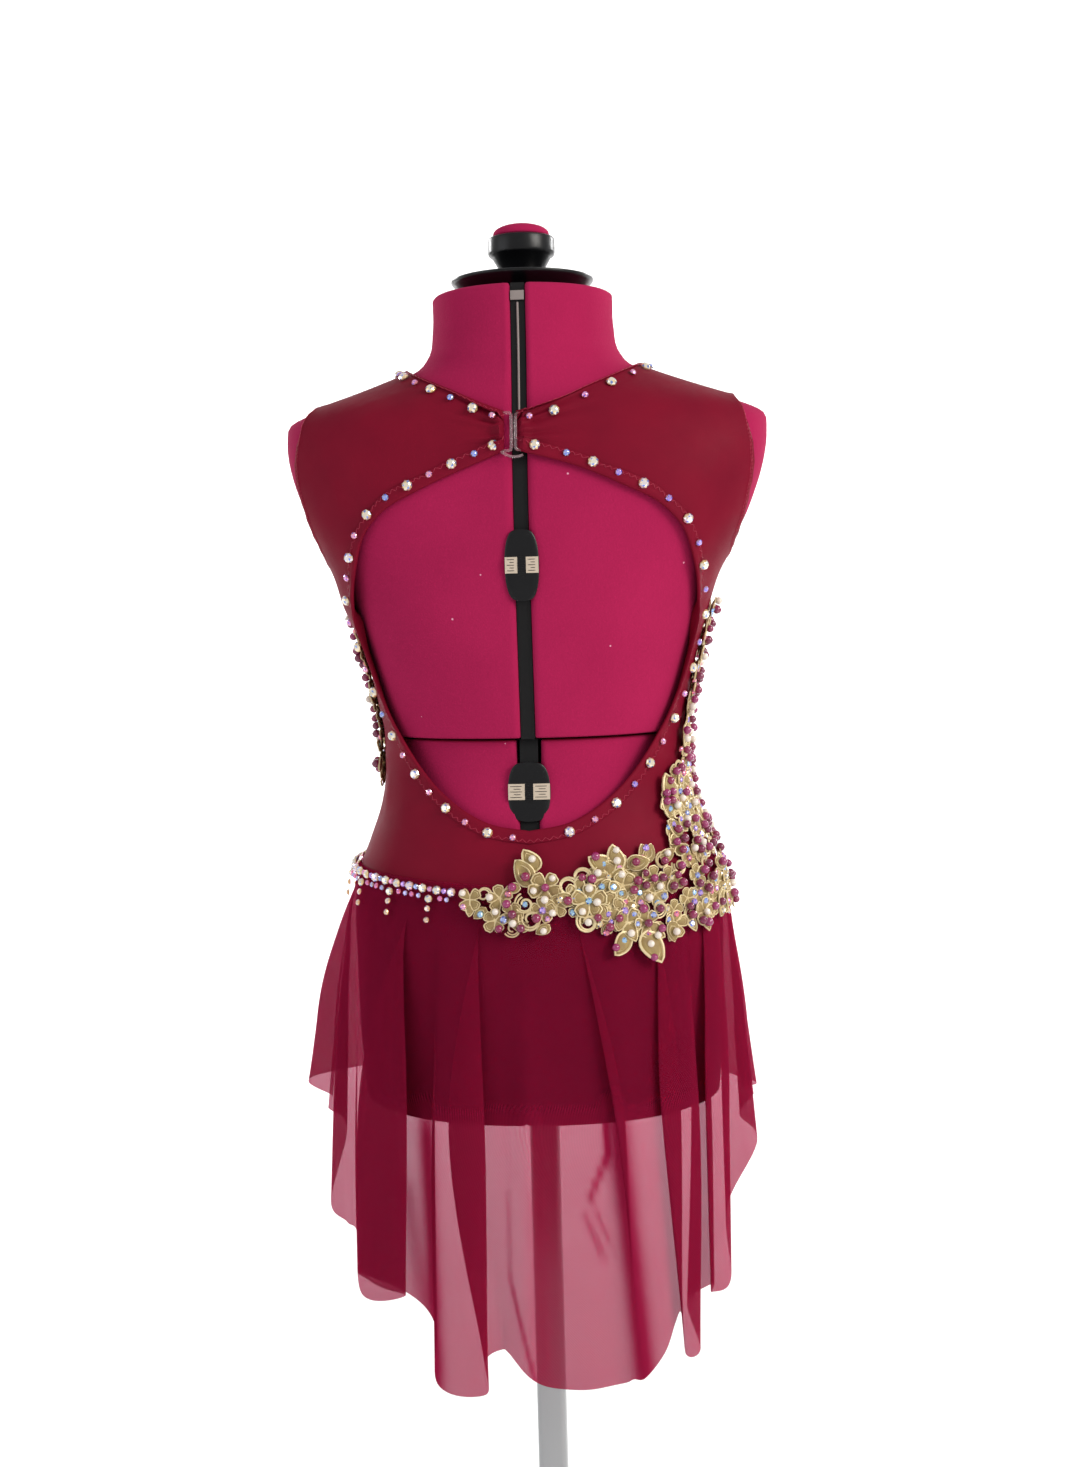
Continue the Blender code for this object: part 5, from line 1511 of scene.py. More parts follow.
    def ease(self, grid: Array) -> Array:
        """Raises the cloth off the left flank under the arm, where it isn't pulled tight.

        Args:
            grid: The cloth.

        Returns:
            How far each point rises.
        """
        turn = np.degrees(np.arctan2(grid[..., 0], -grid[..., 1]))
        up = (grid[..., 2] - self.flank_height) / 26.0
        return self.flank_ease * np.exp(-(((turn + 90.0) / 30.0) ** 2) - up**2)

    def hem_rise(self, grid: Array, edge: Array, width: float = 6.5) -> Array:
        """Raises a turned hem: double cloth up to a stitch line that pulls it in.

        Args:
            grid: The cloth.
            edge: Points of the hemmed edges.
            width: Width of the hem.

        Returns:
            How far each point of the cloth rises.
        """
        flat = grid.reshape(-1, 3)
        gap = np.full(len(flat), 1e9)
        for start in range(0, len(flat), 2000):
            apart = flat[start : start + 2000, None] - edge[None, ::2]
            gap[start : start + 2000] = np.sqrt((apart**2).sum(-1)).min(axis=1)
        gap = gap.reshape(grid.shape[:-1])
        fold = DRESS.hem_fold / (1.0 + np.exp((gap - width) / 0.5))
        return fold - 0.3 * np.exp(-(((gap - width + 0.6) / 0.9) ** 2))

    def gathers(self, grid: Array) -> Array:
        """Raises the gathers that run out from both tab ends, and the ridge of each tab's fold over its loop.

        Args:
            grid: The back.

        Returns:
            How far each point rises.
        """
        row = 2 * np.pi * np.linspace(0.0, 1.0, len(grid))[:, None]
        rise = np.zeros(grid.shape[:-1])
        for side in Side:
            end = BODY.back(self.tab_end[side], (self.tab_low + self.tab_high) / 2)
            apart = np.linalg.norm(grid - end, axis=-1)
            same = np.sign(grid[..., 0] - end[0]) == side.value
            fade = np.exp(-((apart / 34.0) ** 1.6)) * same * np.clip(apart / 6.0, 0.2, 1.0)
            wave = np.sin(row * 4.5 + 0.7 * side.value) + 0.5 * np.sin(row * 7.3 + apart / 14.0)
            tall = np.exp(-(((grid[..., 2] - end[2]) / 13.0) ** 6))
            from_end = (grid[..., 0] - self.tab_end[side]) * side.value - self.loop_in[side]
            rise += self.tab_gather * fade * wave + self.tab_ridge * tall * np.exp(-((from_end / 2.6) ** 2))
        return rise

    def creases(self) -> list[Crease]:
        """Lays the drag lines and, at the left shoulder, a row of four short ones.

        Returns:
            The creases.
        """
        shoulder = [(-101 + 2 * k, 1157 - 8 * k, 1, 0.27, 22, 2.8, 1 - 0.1 * k) for k in range(4)]
        made = []
        for place, rows in ((BODY.back, (*shoulder, *self.back_drags)), (BODY.front, self.front_drags)):
            for x, z, way_x, way_z, length, width, height in rows:
                made.append(Crease(place(x, z), (way_x, 0.0, way_z), length, width, height))
        return made

    def panel(self, name: str, grid: Array, rise: Array | float, arms: tuple) -> tuple[Piece, Array, Array]:
        """Builds the back or the front.

        Args:
            name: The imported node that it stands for.
            grid: Its grid on the form.
            rise: What it rises over the form, apart from ease, creases and hems.
            arms: Its columns along both armholes.

        Returns:
            The piece, its outer face and the ways out of it.
        """
        out = BODY.normal(grid)
        rise = rise + self.ease(grid) + sum(crease.rise(grid) for crease in self.creases())
        rise = rise + self.hem_rise(grid, np.concatenate([grid[-1, part] for part in arms]))
        face = grid + out * (DRESS.cover + rise)[..., None]
        made = settle(add_wall(name + "_jersey", face, out, DRESS.wall), BODICE_JERSEY, Slot.JERSEY, name)
        return made, face, out

    def build(self) -> None:
        """Builds both panels, the bands over the keyhole edge and round the neckline, and the sewing."""
        grid, shares = self.back_grid()
        place = np.clip((shares - 0.06) / 0.78, 0.0, 1.0)
        near = np.clip(1.0 - np.linspace(0.0, 1.0, self.rows + 1) / self.lift_reach, 0.0, 1.0) ** 2
        lift = self.lift * near[:, None] * np.sin(math.pi * place)[None] ** 2
        half, arm, neck = sum(self.back_columns), self.front_columns[0], self.back_columns[-1]
        a, b = half - sum(self.back_columns[:3]), half - sum(self.back_columns[:2])
        back_arms = (slice(a, b + 1), slice(2 * half - b, 2 * half - a + 1))
        back, face, out = self.panel("bodice_back", grid, lift + self.gathers(grid), back_arms)
        front_arms = (slice(0, arm + 1), slice(-arm - 1, None))
        front, front_face, front_out = self.panel("bodice_front", self.front_grid(), 0.0, front_arms)

        self.key_edge = Band(face[0], unit(face[1] - face[0]), out[0], self.band)
        key = settle(self.key_edge.build("keyhole_band"), BODICE_JERSEY, Slot.JERSEY, "keyhole_binding")
        right, left = slice(-1, -neck - 2, -1), slice(neck, None, -1)
        edge = np.concatenate([face[-1, right], front_face[0], face[-1, left]])
        inner = np.concatenate([face[-2, right], front_face[1], face[-2, left]])
        ways = np.concatenate([out[-1, right], front_out[0], out[-1, left]])
        self.neck_edge = Band(edge, unit(inner - edge), ways, self.neck_band)
        band = settle(self.neck_edge.build("neckline_band"), BODICE_JERSEY, Slot.JERSEY, "neck_binding")

        zigzag = Copies("band_zigzag", SEWING_THREAD, Slot.JERSEY)
        self.key_edge.zigzag(zigzag)
        self.neck_edge.zigzag(zigzag)
        zigzag.build(stitch_shape())
        rows = Copies("armhole_stitches", SEWING_THREAD, Slot.JERSEY)
        spans = [(face, out, part) for part in back_arms]
        spans += [(front_face, front_out, part) for part in front_arms]
        for points, ways, part in spans:
            for inset in (4.6, 6.6):
                stitch_row(rows, points[::-1, part], ways[::-1, part], inset)
        rows.build(stitch_shape())


def stitch_row(
    copies: Copies, grid: Array, out: Array, inset: float, pitch: float = 2.6, thick: float = 0.42
) -> None:
    """Adds a row of straight stitches beside the edge of a panel.

    Args:
        copies: The stitches.
        grid: The panel, with its edge as its first row.
        out: The ways out of it.
        inset: Distance of the row from the edge.
        pitch: Length from stitch to stitch.
        thick: Thickness of the thread.
    """
    runs = [run_of(grid[:, c]) for c in range(grid.shape[1])]
    line = np.array([read(inset, run, grid[:, c]) for c, run in enumerate(runs)])
    ways = unit(np.array([read(inset, run, out[:, c]) for c, run in enumerate(runs)]))
    run = run_of(line)
    for at in np.arange(pitch / 2, run[-1], pitch):
        ahead = read(at + 0.5, run, line) - read(at - 0.5, run, line)
        copies.add(read(at, run, line), ahead, read(at, run, ways), (pitch * 0.8, thick, thick))


@dataclass
class Band:
    """A strip of jersey folded over an edge and sewn down, with a soft round fold."""

    edge: Array
    inward: Array
    out: Array
    width: float
    thread: float = 0.42

    def profile(self) -> list[tuple[float, float]]:
        """Draws its section.

        Returns:
            Distances in from the edge and heights over the cloth, once round.
        """
        w = self.width
        return [
            (w, 0.55), (w - 0.4, 0.95), (w * 0.8, 1.15), (w * 0.6, 1.0), (w * 0.45, 1.2), (w * 0.2, 1.35),
            (0.5, 1.1), (-0.3, 0.5), (-0.5, -0.4), (-0.2, -1.2), (0.6, -1.5), (w * 0.55, -1.5),
            (w * 0.55, -1.0), (0.8, -1.0), (0.3, -0.4), (0.8, 0.2), (w * 0.5, 0.25), (w, 0.25),
        ]

    def build(self, name: str) -> Piece:
        """Sweeps the section along the edge, a little puckered, and closes both ends.

        Args:
            name: The piece's name.

        Returns:
            The piece.
        """
        loop, run = self.profile(), run_of(self.edge)
        count, size, middle = len(self.edge), len(loop), len(self.edge) // 2
        pucker = 1.0 + 0.06 * np.sin(run / 1.9) + 0.05 * np.sin(run / 5.3 + 1.0)
        rows = []
        for s, h in loop:
            rise = h * (pucker if h > 0.6 else np.ones(count))
            rows.append(self.edge + self.inward * s + self.out * rise[:, None])
        faces = grid_quads(count, size, closed=True) + ring_ends(count, size)
        ahead = self.edge[middle + 1] - self.edge[middle]
        if np.cross(self.inward[middle], self.out[middle]) @ ahead < 0.0:
            faces = flipped(faces)
        made = add_mesh(name, np.stack(rows, axis=1).reshape(-1, 3), faces, 60.0)
        across = np.tile(np.linspace(0, 2 * self.width, size), count)
        set_cloth_map(made, np.stack([np.repeat(run, size), across], axis=1))
        return made

    def at(self, distance: float, s: float, h: float) -> Triple:
        """Finds a place on the band.

        Args:
            distance: Distance along it.
            s: Distance in from its edge.
            h: Height over the cloth.

        Returns:
            The place, the way ahead and the way out.
        """
        run = run_of(self.edge)
        out = unit(read(distance, run, self.out))
        place = read(distance, run, self.edge) + unit(read(distance, run, self.inward)) * s + out * h
        return place, unit(read(distance + 1.0, run, self.edge) - read(distance - 1.0, run, self.edge)), out

    def length(self) -> float:
        """Length of the edge."""
        return float(run_of(self.edge)[-1])

    def zigzag(self, copies: Copies, pitch: float = 2.4, reach: float = 2.2) -> None:
        """Adds the zigzag that holds the band's raw edge down.

        Args:
            copies: The stitches.
            pitch: Step along the band.
            reach: Width of the zigzag.
        """
        places = [self.width - 0.6, self.width - 0.6 - reach]
        for k in range(int(self.length() / pitch)):
            start, _, out = self.at(k * pitch, places[k % 2], 1.15)
            end, _, _ = self.at((k + 1) * pitch, places[1 - k % 2], 1.15)
            size = (float(np.linalg.norm(end - start)) * 0.98, self.thread, self.thread)
            copies.add((start + end) / 2 - out * 0.1, end - start, out, size)


@dataclass
class Trunk:
    """The close-fitting seat and front under the skirt, sewn at the sides, down to the form's foot.

    Its jersey is the bodice's, darkened as painted shade of the skirt and hips over it.
    """

    hem: float = 681.0
    columns: int = 120
    rows: int = 40
    seam_turn: float = 0.15

    def build(self) -> None:
        """Builds the seat and the front, each with a turned hem."""
        for name, first in (("trunk_back", -90.0), ("trunk_front", 90.0)):
            turn = np.linspace(first + self.seam_turn, first + 180.0 - self.seam_turn, self.columns + 1)
            share = np.linspace(0.0, 1.0, self.rows + 1)[:, None]
            heights = (DRESS.seam(turn) - DRESS.seam_gap)[None] * (1 - share) + self.hem * share
            skin = BODY.section(turn[None], heights)
            out = unit(BODY.normal(skin) * np.array([1.0, 1.0, 0.0]))
            drop = heights - self.hem
            rise = DRESS.hem_fold / (1.0 + np.exp((drop - 12.0) / 0.6)) - 0.3 * np.exp(-((drop - 11.2) ** 2))
            rise += 0.35 * np.sin(np.radians(turn * 9.0))[None] * np.exp(-(((drop - 70.0) / 50.0) ** 2))
            outer = skin + out * (DRESS.cover + rise)[..., None]
            # The trunk's dark jersey is painted shade from the skirt above it.
            made = settle(add_wall(name + "_jersey", outer, out, DRESS.wall), TRUNK_JERSEY_PAINTED_SHADE, Slot.JERSEY, name)


@dataclass
class Skirt:
    """Two panels of sheer stretch net, hung in folds from the hip seam, long behind and short in front.

    A fold is its angle at the seam, halfway down and at the hem, how far it reaches out halfway down and at
    the hem, and the height of the hem. A row of gathers is a band where the net shows denser, partly for
    thread seen edge-on in a soft fold and partly as painted shade of that fold: its x and height above and
    below, its half width and how much denser it shows.
    """

    ease_top: float = 4.5
    ease_hem: float = 7.0
    fold_start: float = 0.07
    full_drop: float = 330.0
    lap: float = 4.0
    section_foot: float = 720.0
    crowding: float = 1.35
    wall: float = 0.35
    fold_steps: int = 12
    back_rows: int = 56
    front_rows: int = 34
    back_folds: tuple = (
        (-90, -90, -89.5, 15, 24, 665), (-87, -86.5, -87, 6, 10, 652), (-83, -83, -83.5, 15, 23, 602),
        (-77, -78, -77, 8, 13, 592), (-71, -72, -69, 5, 9, 590), (-63, -59.5, -57, 15, 23, 560),
        (-50.5, -41, -39.5, 17, 26, 571), (-42, -65, -65.5, 8, 13, 566), (-39, -50, -48, 3, 4.5, 562),
        (-36, -37, -38, 4, 5, 543), (-32, -33, -31.5, 14, 22, 512), (-22, -16.4, -16.2, 15, 26, 510),
        (-17, -31, -18.5, 6, 13, 527), (-14.5, -23, -14.5, 3, 5, 531), (-10.5, -11.5, -11, 4, 8, 530),
        (-4, -3, -3, 8, 15, 517), (2, 3, 3.5, 5, 10, 508), (9, 12, 14, 4, 9, 506),
        (13, 24, 28, 4, 8, 507), (15, 31.5, 30.5, 6, 12, 511), (17, 27.3, 32, 13, 20, 515),
        (26, 32.5, 37, 15, 22, 531), (34, 38.5, 43, 9, 15, 546), (43, 52, 49.5, 3, 5, 546),
        (48, 41, 43, 14, 24, 528), (54.5, 53, 49, 15, 21, 527), (58.5, 57, 52.5, 2, 3, 552),
        (63, 63.5, 61, 4, 6, 560), (67, 57.5, 55.5, 12, 15, 560), (72, 67, 66, 13, 13, 562),
        (76, 72, 72, 3, 5, 606), (80.5, 79.5, 80, 13, 20, 647), (85, 85, 85, 4, 8, 661),
        (90, 90, 89, 10, 19, 673),
    )
    front_folds: tuple = (
        (91, 91.5, 92, 7, 11, 676), (98, 98.5, 98, 14, 23, 674), (106, 106, 106, 4, 6, 679),
        (115, 115, 115, 12, 19, 687), (124, 124, 124, 4, 5, 696), (134, 134, 135, 12, 18, 698),
        (144, 144, 144, 3, 4, 705), (154, 153, 153, 10, 16, 704), (163, 163, 163, 3, 4, 709),
        (172, 172, 171, 8, 12, 708), (181, 181, 181, 3, 4, 712), (190, 190, 191, 9, 14, 709),
        (199, 199, 199, 3, 4, 710), (209, 209, 208, 10, 16, 704), (218, 218, 218, 3, 5, 704),
        (227, 227, 227, 12, 18, 698), (236, 236, 236, 4, 5, 699), (245, 245, 245, 12, 19, 692),
        (253.5, 253.5, 253.5, 4, 6, 687), (261.5, 261, 261.5, 31, 46, 679),
        (269, 268.5, 268, 14, 22, 672),
    )
    seat_half: float = 104.0
    seat_foot: float = 688.0
    seat_opening: float = 0.22
    # Bands of denser net: partly thread seen edge-on in soft folds, partly painted shade of those folds.
    gathers: tuple = (
        (-74, 690, -70, 520, 5.6, 0.32), (-90, 640, -80, 560, 6, 0.12), (52, 700, 68, 520, 7, 0.33),
        (45, 700, 47, 664, 1.9, 0.3), (47, 662, 35.5, 636, 2.1, 0.26), (31, 622, 42, 596, 2, 0.16),
        (37, 628, 47, 604, 1.6, 0.14), (-19, 580, -5, 520, 1.5, 0.2), (-19, 640, -19, 585, 2.4, 0.07),
        (0, 640, 2, 520, 7, 0.08),
    )

    def gather(self, made: Piece) -> None:
        """Marks bands of denser net, partly thread seen edge-on in soft folds and partly painted fold shade,
        and where it is stretched open over the seat.

        Args:
            made: The panel, which gets the share as an attribute that its finish reads.
        """
        flat = np.empty(3 * len(made.data.vertices), np.float32)
        made.data.vertices.foreach_get("co", flat)
        x, y, z = flat.reshape(-1, 3).T / MM
        opened = np.clip((z - self.seat_foot) / 12.0, 0.0, 1.0) * np.exp(-((x / self.seat_half) ** 8))
        total = -self.seat_opening * opened
        # Each band adds density: partly thread seen edge-on in a soft fold, partly painted shade of it.
        for x_above, z_above, x_below, z_below, width, density in self.gathers:
            share = (z_above - z) / (z_above - z_below)
            centre = x_above + (x_below - x_above) * share
            length = np.clip(share * 5.0 + 0.5, 0.0, 1.0) * np.clip((1.25 - share) * 4.0, 0.0, 1.0)
            total += density * length * np.exp(-(((x - centre) / width) ** 2))
        store = made.data.attributes.new("gather", "FLOAT", "POINT")
        store.data.foreach_set("value", np.where(y < 0.0, total, 0.0).astype(np.float32))

    def track(self, folds: tuple, share: float) -> Array:
        """Draws the cloth's turns at one level as a smooth line.

        Args:
            folds: The panel's folds.
            share: The level's share of the drop.

        Returns:
            Rows of angle, reach and height of the hem.
        """
        table, halves = np.array(folds), (0.0, 0.5, 1.0)
        opened = max(0.0, (share - self.fold_start) / (1.0 - self.fold_start))
        angle = through(halves, table[:, :3].T, np.array([share]))[0]
        reaches = np.stack([np.zeros(len(table)), table[:, 3], table[:, 4]])
        turns = np.stack([angle, through(halves, reaches, np.array([opened]))[0], table[:, 5]], axis=1)
        padded = np.concatenate([2 * turns[:1] - turns[1:2], turns, 2 * turns[-1:] - turns[-2:-1]])
        made = []
        for i in range(1, len(padded) - 2):
            p0, p1, p2, p3 = padded[i - 1 : i + 3]
            square, cube = 2 * p0 - 5 * p1 + 4 * p2 - p3, 3 * p1 - p0 - 3 * p2 + p3
            for t in np.arange(self.fold_steps) / self.fold_steps:
                made.append(p1 + 0.5 * ((p2 - p0) * t + square * t**2 + cube * t**3))
        return np.array([*made, turns[-1]])

    def grid(self, folds: tuple, rows: int) -> Array:
        """Lays out a panel.

        Args:
            folds: Its folds.
            rows: Steps from the seam to the hem.

        Returns:
            Rows from the seam to the hem, with columns round the body.
        """
        foot = self.track(folds, 1.0)[:, 2]
        top = DRESS.seam(self.track(folds, 0.0)[:, 0]) + self.lap
        made = []
        for share in np.linspace(0.0, 1.0, rows + 1) ** self.crowding:
            angle, reach, _ = self.track(folds, share).T
            heights = top * (1 - share) + foot * share
            drop = np.clip((top - heights) / self.full_drop, 0.0, 1.0)
            grow = self.ease_top + (self.ease_hem - self.ease_top) * drop + reach
            ripple = 0.9 * share * np.sin(np.radians(angle * 17.0) + 3.0 * share)
            line = BODY.section(angle, np.maximum(heights, self.section_foot), grow + ripple)
            line[:, 2] = heights
            made.append(line)
        return np.array(made)

    def build(self) -> None:
        """Builds both panels."""
        back = ("skirt_back", self.back_folds, self.back_rows, (0.92, 0.336), 0.176)
        front = ("skirt_front", self.front_folds, self.front_rows, (0.515, 0.178), 0.063)
        for name, folds, rows, flat, area in (back, front):
            grid = self.grid(folds, rows)
            out = unit(np.cross(np.gradient(grid, axis=0), np.gradient(grid, axis=1)))
            made = add_wall(name + "_net", grid + out * self.wall / 2, out, self.wall)
            self.gather(made)
            settle(made, SKIRT_NET, Slot.MESH, name)


class Motif(Enum):
    """Kinds of lace motif: a round of petals, one leaf, or a curled band."""

    BLOOM = "bloom"
    LEAF = "leaf"
    SCROLL = "scroll"


BLOOM, LEAF, SCROLL = Motif


@dataclass
class Lacework:
    """Corded gold lace on the hip and the sides, with its pearls, beads and set stones.

    A hip motif is its kind, x, height, turn and size, and its beads from the middle or the root outwards.
    """

    seed: int = 11
    pearl: float = 5.2
    burgundy_pearl: float = 6.0
    pearl_room: float = 5.0
    stone: float = 4.8
    cover: float = 4.0
    belt_fall: float = 5.0
    belt_step: float = 4.9
    hip_motifs: tuple = (
        (BLOOM, -38, 831, 45, 9, "--ps-"), (LEAF, -37, 829, 250, 9, "b"),
        (BLOOM, -19, 832, 30, 9, "-s-p-b"), (BLOOM, -22, 818, 10, 8.5, "-sp--b"),
        (LEAF, 2.7, 841, 140, 19, "bs"), (LEAF, 4.5, 849, 108, 16, "p"),
        (BLOOM, 9.9, 838.3, 55, 11.5, "bp-pp-"), (SCROLL, -3, 828, 200, 15, "s"),
        (BLOOM, -11, 822, 60, 8.5, "b-s-p-"), (LEAF, -28, 826, 235, 10, "s"),
        (SCROLL, -29, 834, 40, 12, "-"), (SCROLL, -11, 813, 300, 12, "b"), (LEAF, -6, 838, 170, 10, "b"),
        (BLOOM, 8, 824, 15, 9, "s-p-bs"), (LEAF, 12, 815, 225, 10, "p"),
        (SCROLL, 0.5, 818.7, 250, 17, "p"), (LEAF, -1, 815, 200, 10, "b"),
        (BLOOM, 17, 826.5, 20, 7.5, "---pp-"), (SCROLL, 24, 838, 30, 17, "-"),
        (SCROLL, 33, 844, 0, 17, "b"), (LEAF, 28, 829, 170, 12, "bs"), (LEAF, 51, 847.5, 135, 17, "sb"),
        (LEAF, 55, 847, 85, 17, "pp"), (BLOOM, 50, 843, 10, 12, "sp-ps-"), (LEAF, 62, 849, 25, 15, "bs"),
        (BLOOM, 37, 829, 15, 12, "s-p-p-"), (SCROLL, 36, 816, 190, 17, "p"),
        (LEAF, 62, 806.5, 212, 17, "sb"), (LEAF, 71.5, 808, 278, 22, "pb"), (LEAF, 73, 809, 318, 12, "p"),
        (BLOOM, 72, 813, 40, 10, "bs-s--"), (LEAF, 86, 812, 290, 13, "p"), (LEAF, 96, 866, 155, 15, "bs"),
        (LEAF, 91, 878, 118, 15, "sb"), (LEAF, 90, 887, 93, 20, "bb"), (LEAF, 92, 878, 75, 13, "p"),
    )
    dense_patch: tuple = (
        (17, 822, 842), (24, 816, 846), (32, 810, 851), (44, 806, 853), (52, 806, 856), (60, 810, 858),
        (70, 813, 858), (80, 815, 866), (92, 818, 874), (102, 824, 870),
    )
    right_patch: tuple = (
        (861, 58, 98), (874, 60, 102), (888, 61, 104), (904, 66, 104), (924, 74, 108), (950, 79, 110),
        (978, 82, 112), (1006, 84, 112), (1030, 88, 106),
    )
    left_patch: tuple = (
        (900, -108, -90), (918, -112, -87), (945, -116, -86.5), (975, -116, -87.5), (1003, -113, -86),
        (1026, -106, -87),
    )

    def __post_init__(self) -> None:
        """Starts the seeded chance and the sets of copies."""
        self.chance = np.random.default_rng(self.seed)
        keys = [(place, form) for place in ("hip", "right", "left") for form in ("petals", "leaves")]
        self.fill = {key: Copies(f"lace_{key[1]}_{key[0]}", GOLD_GIMP, Slot.LACE) for key in keys}
        self.cord = {key: Copies(f"lace_cords_{key[1]}_{key[0]}", GOLD_CORD, Slot.LACE) for key in keys}
        self.scrolls = Copies("lace_scrolls", GOLD_CORD, Slot.LACE)
        self.pearls = Copies("pearls", PEARL, Slot.LACE)
        self.stones = Copies("lace_stones", CRYSTAL, Slot.LACE)
        self.taken: list[Array] = []

    def cloth(self, angle: float, height: float, over: float) -> Triple:
        """Finds a place on the dress, further out where the keyhole's sides or the skirt stand off.

        Args:
            angle: Its angle round the body.
            height: Its height.
            over: Its distance out of the cloth.

        Returns:
            The point, the way round the body and the way out.
        """
        skin = BODY.section(angle, height)
        ahead, out = unit(BODY.section(angle + 0.5, height) - skin), BODY.normal(skin)
        below = max(0.0, float(DRESS.seam(angle)) + 4.0 - height)
        away = self.cover + min(below * 0.5, 2.2) + 0.045 * below
        if height > float(DRESS.seam(angle)) + 8.0 and skin[1] < -20.0:
            away += 1.6 * math.exp(-(((abs(skin[0]) - 100.0) / 16.0) ** 2) - ((height - 980.0) / 70.0) ** 2)
        return skin + out * (away + over), ahead, out

    def moved(self, angle: float, height: float, turn: float, run: float) -> tuple[float, float]:
        """Goes a distance over the cloth.

        Args:
            angle: Angle of the start.
            height: Height of the start.
            turn: The way to go, from 0 round the body to 90 upwards.
            run: The distance.

        Returns:
            The angle and height reached.
        """
        width = float(np.linalg.norm(BODY.section(angle + 1.0, height) - BODY.section(angle, height)))
        return angle + run * math.cos(math.radians(turn)) / width, height + run * math.sin(math.radians(turn))

    def petal(self, key: tuple, angle: float, height: float, turn: float, size: float, over: float) -> None:
        """Adds one petal or leaf with its cords.

        Args:
            key: Its patch and form.
            angle: Angle of its root.
            height: Height of its root.
            turn: The way that it points.
            size: Its length.
            over: Its distance out of the cloth.
        """
        place, ahead, out = self.cloth(angle, height, over)
        way = turned_way(turn, ahead, np.cross(out, ahead))
        flip = key[1] == "leaves" and self.chance.choice((-1.0, 1.0)) < 0
        for copies in (self.fill[key], self.cord[key]):
            copies.add(place, way, unit(out - way * 0.12), size, flip=flip)

    def motif(
        self, key: str, kind: Motif, angle: float, height: float, turn: float, size: float, beads: str,
        over: float,
    ) -> None:
        """Adds one motif's petals and cords, and its beads.

        Args:
            key: Its patch.
            kind: Its kind.
            angle: Angle of its middle or root.
            height: Height of its middle or root.
            turn: The way that it points.
            size: Its size.
            beads: A letter for each bead: p and b are pearls, s is a stone.
            over: Its distance out of the cloth.
        """
        if kind is BLOOM:
            self.bead(angle, height, beads[0], over + 0.9)
            for k, bead in enumerate(beads[1:]):
                way = turn + 360.0 / (len(beads) - 1) * k + self.chance.uniform(-6, 6)
                self.petal((key, "petals"), angle, height, way, size * self.chance.uniform(0.92, 1.05), over)
                self.bead(*self.moved(angle, height, way, size * 0.66), bead, over + 1.3)
        elif kind is LEAF:
            self.petal((key, "leaves"), angle, height, turn, size, over)
            for k, bead in enumerate(beads):
                run = size * (0.5 if len(beads) == 1 else 0.36 + 0.4 * k)
                self.bead(*self.moved(angle, height, turn, run), bead, over + 1.4)
        else:
            place, ahead, out = self.cloth(angle, height, over)
            self.scrolls.add(place, turned_way(turn, ahead, np.cross(out, ahead)), out, size)
            self.bead(angle, height, beads, over + 0.8)

    def free(self, place: Array, room: float) -> bool:
        """Takes a place unless a bead stands too near.

        Args:
            place: The place.
            room: The least distance to any other bead.

        Returns:
            Whether it was free.
        """
        if any(np.linalg.norm(place - other) < room for other in self.taken):
            return False
        self.taken.append(place)
        return True

    def bead(self, angle: float, height: float, kind: str, over: float) -> None:
        """Adds a white or burgundy pearl, a stone, or nothing.

        Args:
            angle: Its angle.
            height: Its height.
            kind: p, b or s, or another letter for nothing.
            over: Its distance out of the cloth.
        """
        if kind == "s":
            self.sparkle(angle, height, over)
        if kind not in "pb":
            return
        place, ahead, out = self.cloth(angle, height, over)
        if self.free(place, self.pearl_room):
            size = (self.pearl if kind == "p" else self.burgundy_pearl) * self.chance.uniform(0.88, 1.06)
            tint = "#EFE3D6" if kind == "p" else self.chance.choice(("#8E1C50", "#7A1846", "#9A2A66"))
            self.pearls.add(place, ahead, out, size, str(tint))

    def sparkle(self, angle: float, height: float, over: float, size: float = 0.0, tint: str = "") -> None:
        """Adds a set stone that faces nearly straight out.

        Args:
            angle: Its angle.
            height: Its height.
            over: Its distance out of the cloth.
            size: Its size, or by chance.
            tint: Its tint, or by chance.
        """
        place, ahead, out = self.cloth(angle, height, over)
        size = size or self.stone * self.chance.uniform(0.85, 1.15)
        if self.free(place, size * 0.8):
            tilt = unit(out + 0.25 * self.chance.uniform(-1, 1, 3))
            self.stones.add(place, ahead, tilt, size, tint or str(self.chance.choice(STONE_TINTS)))

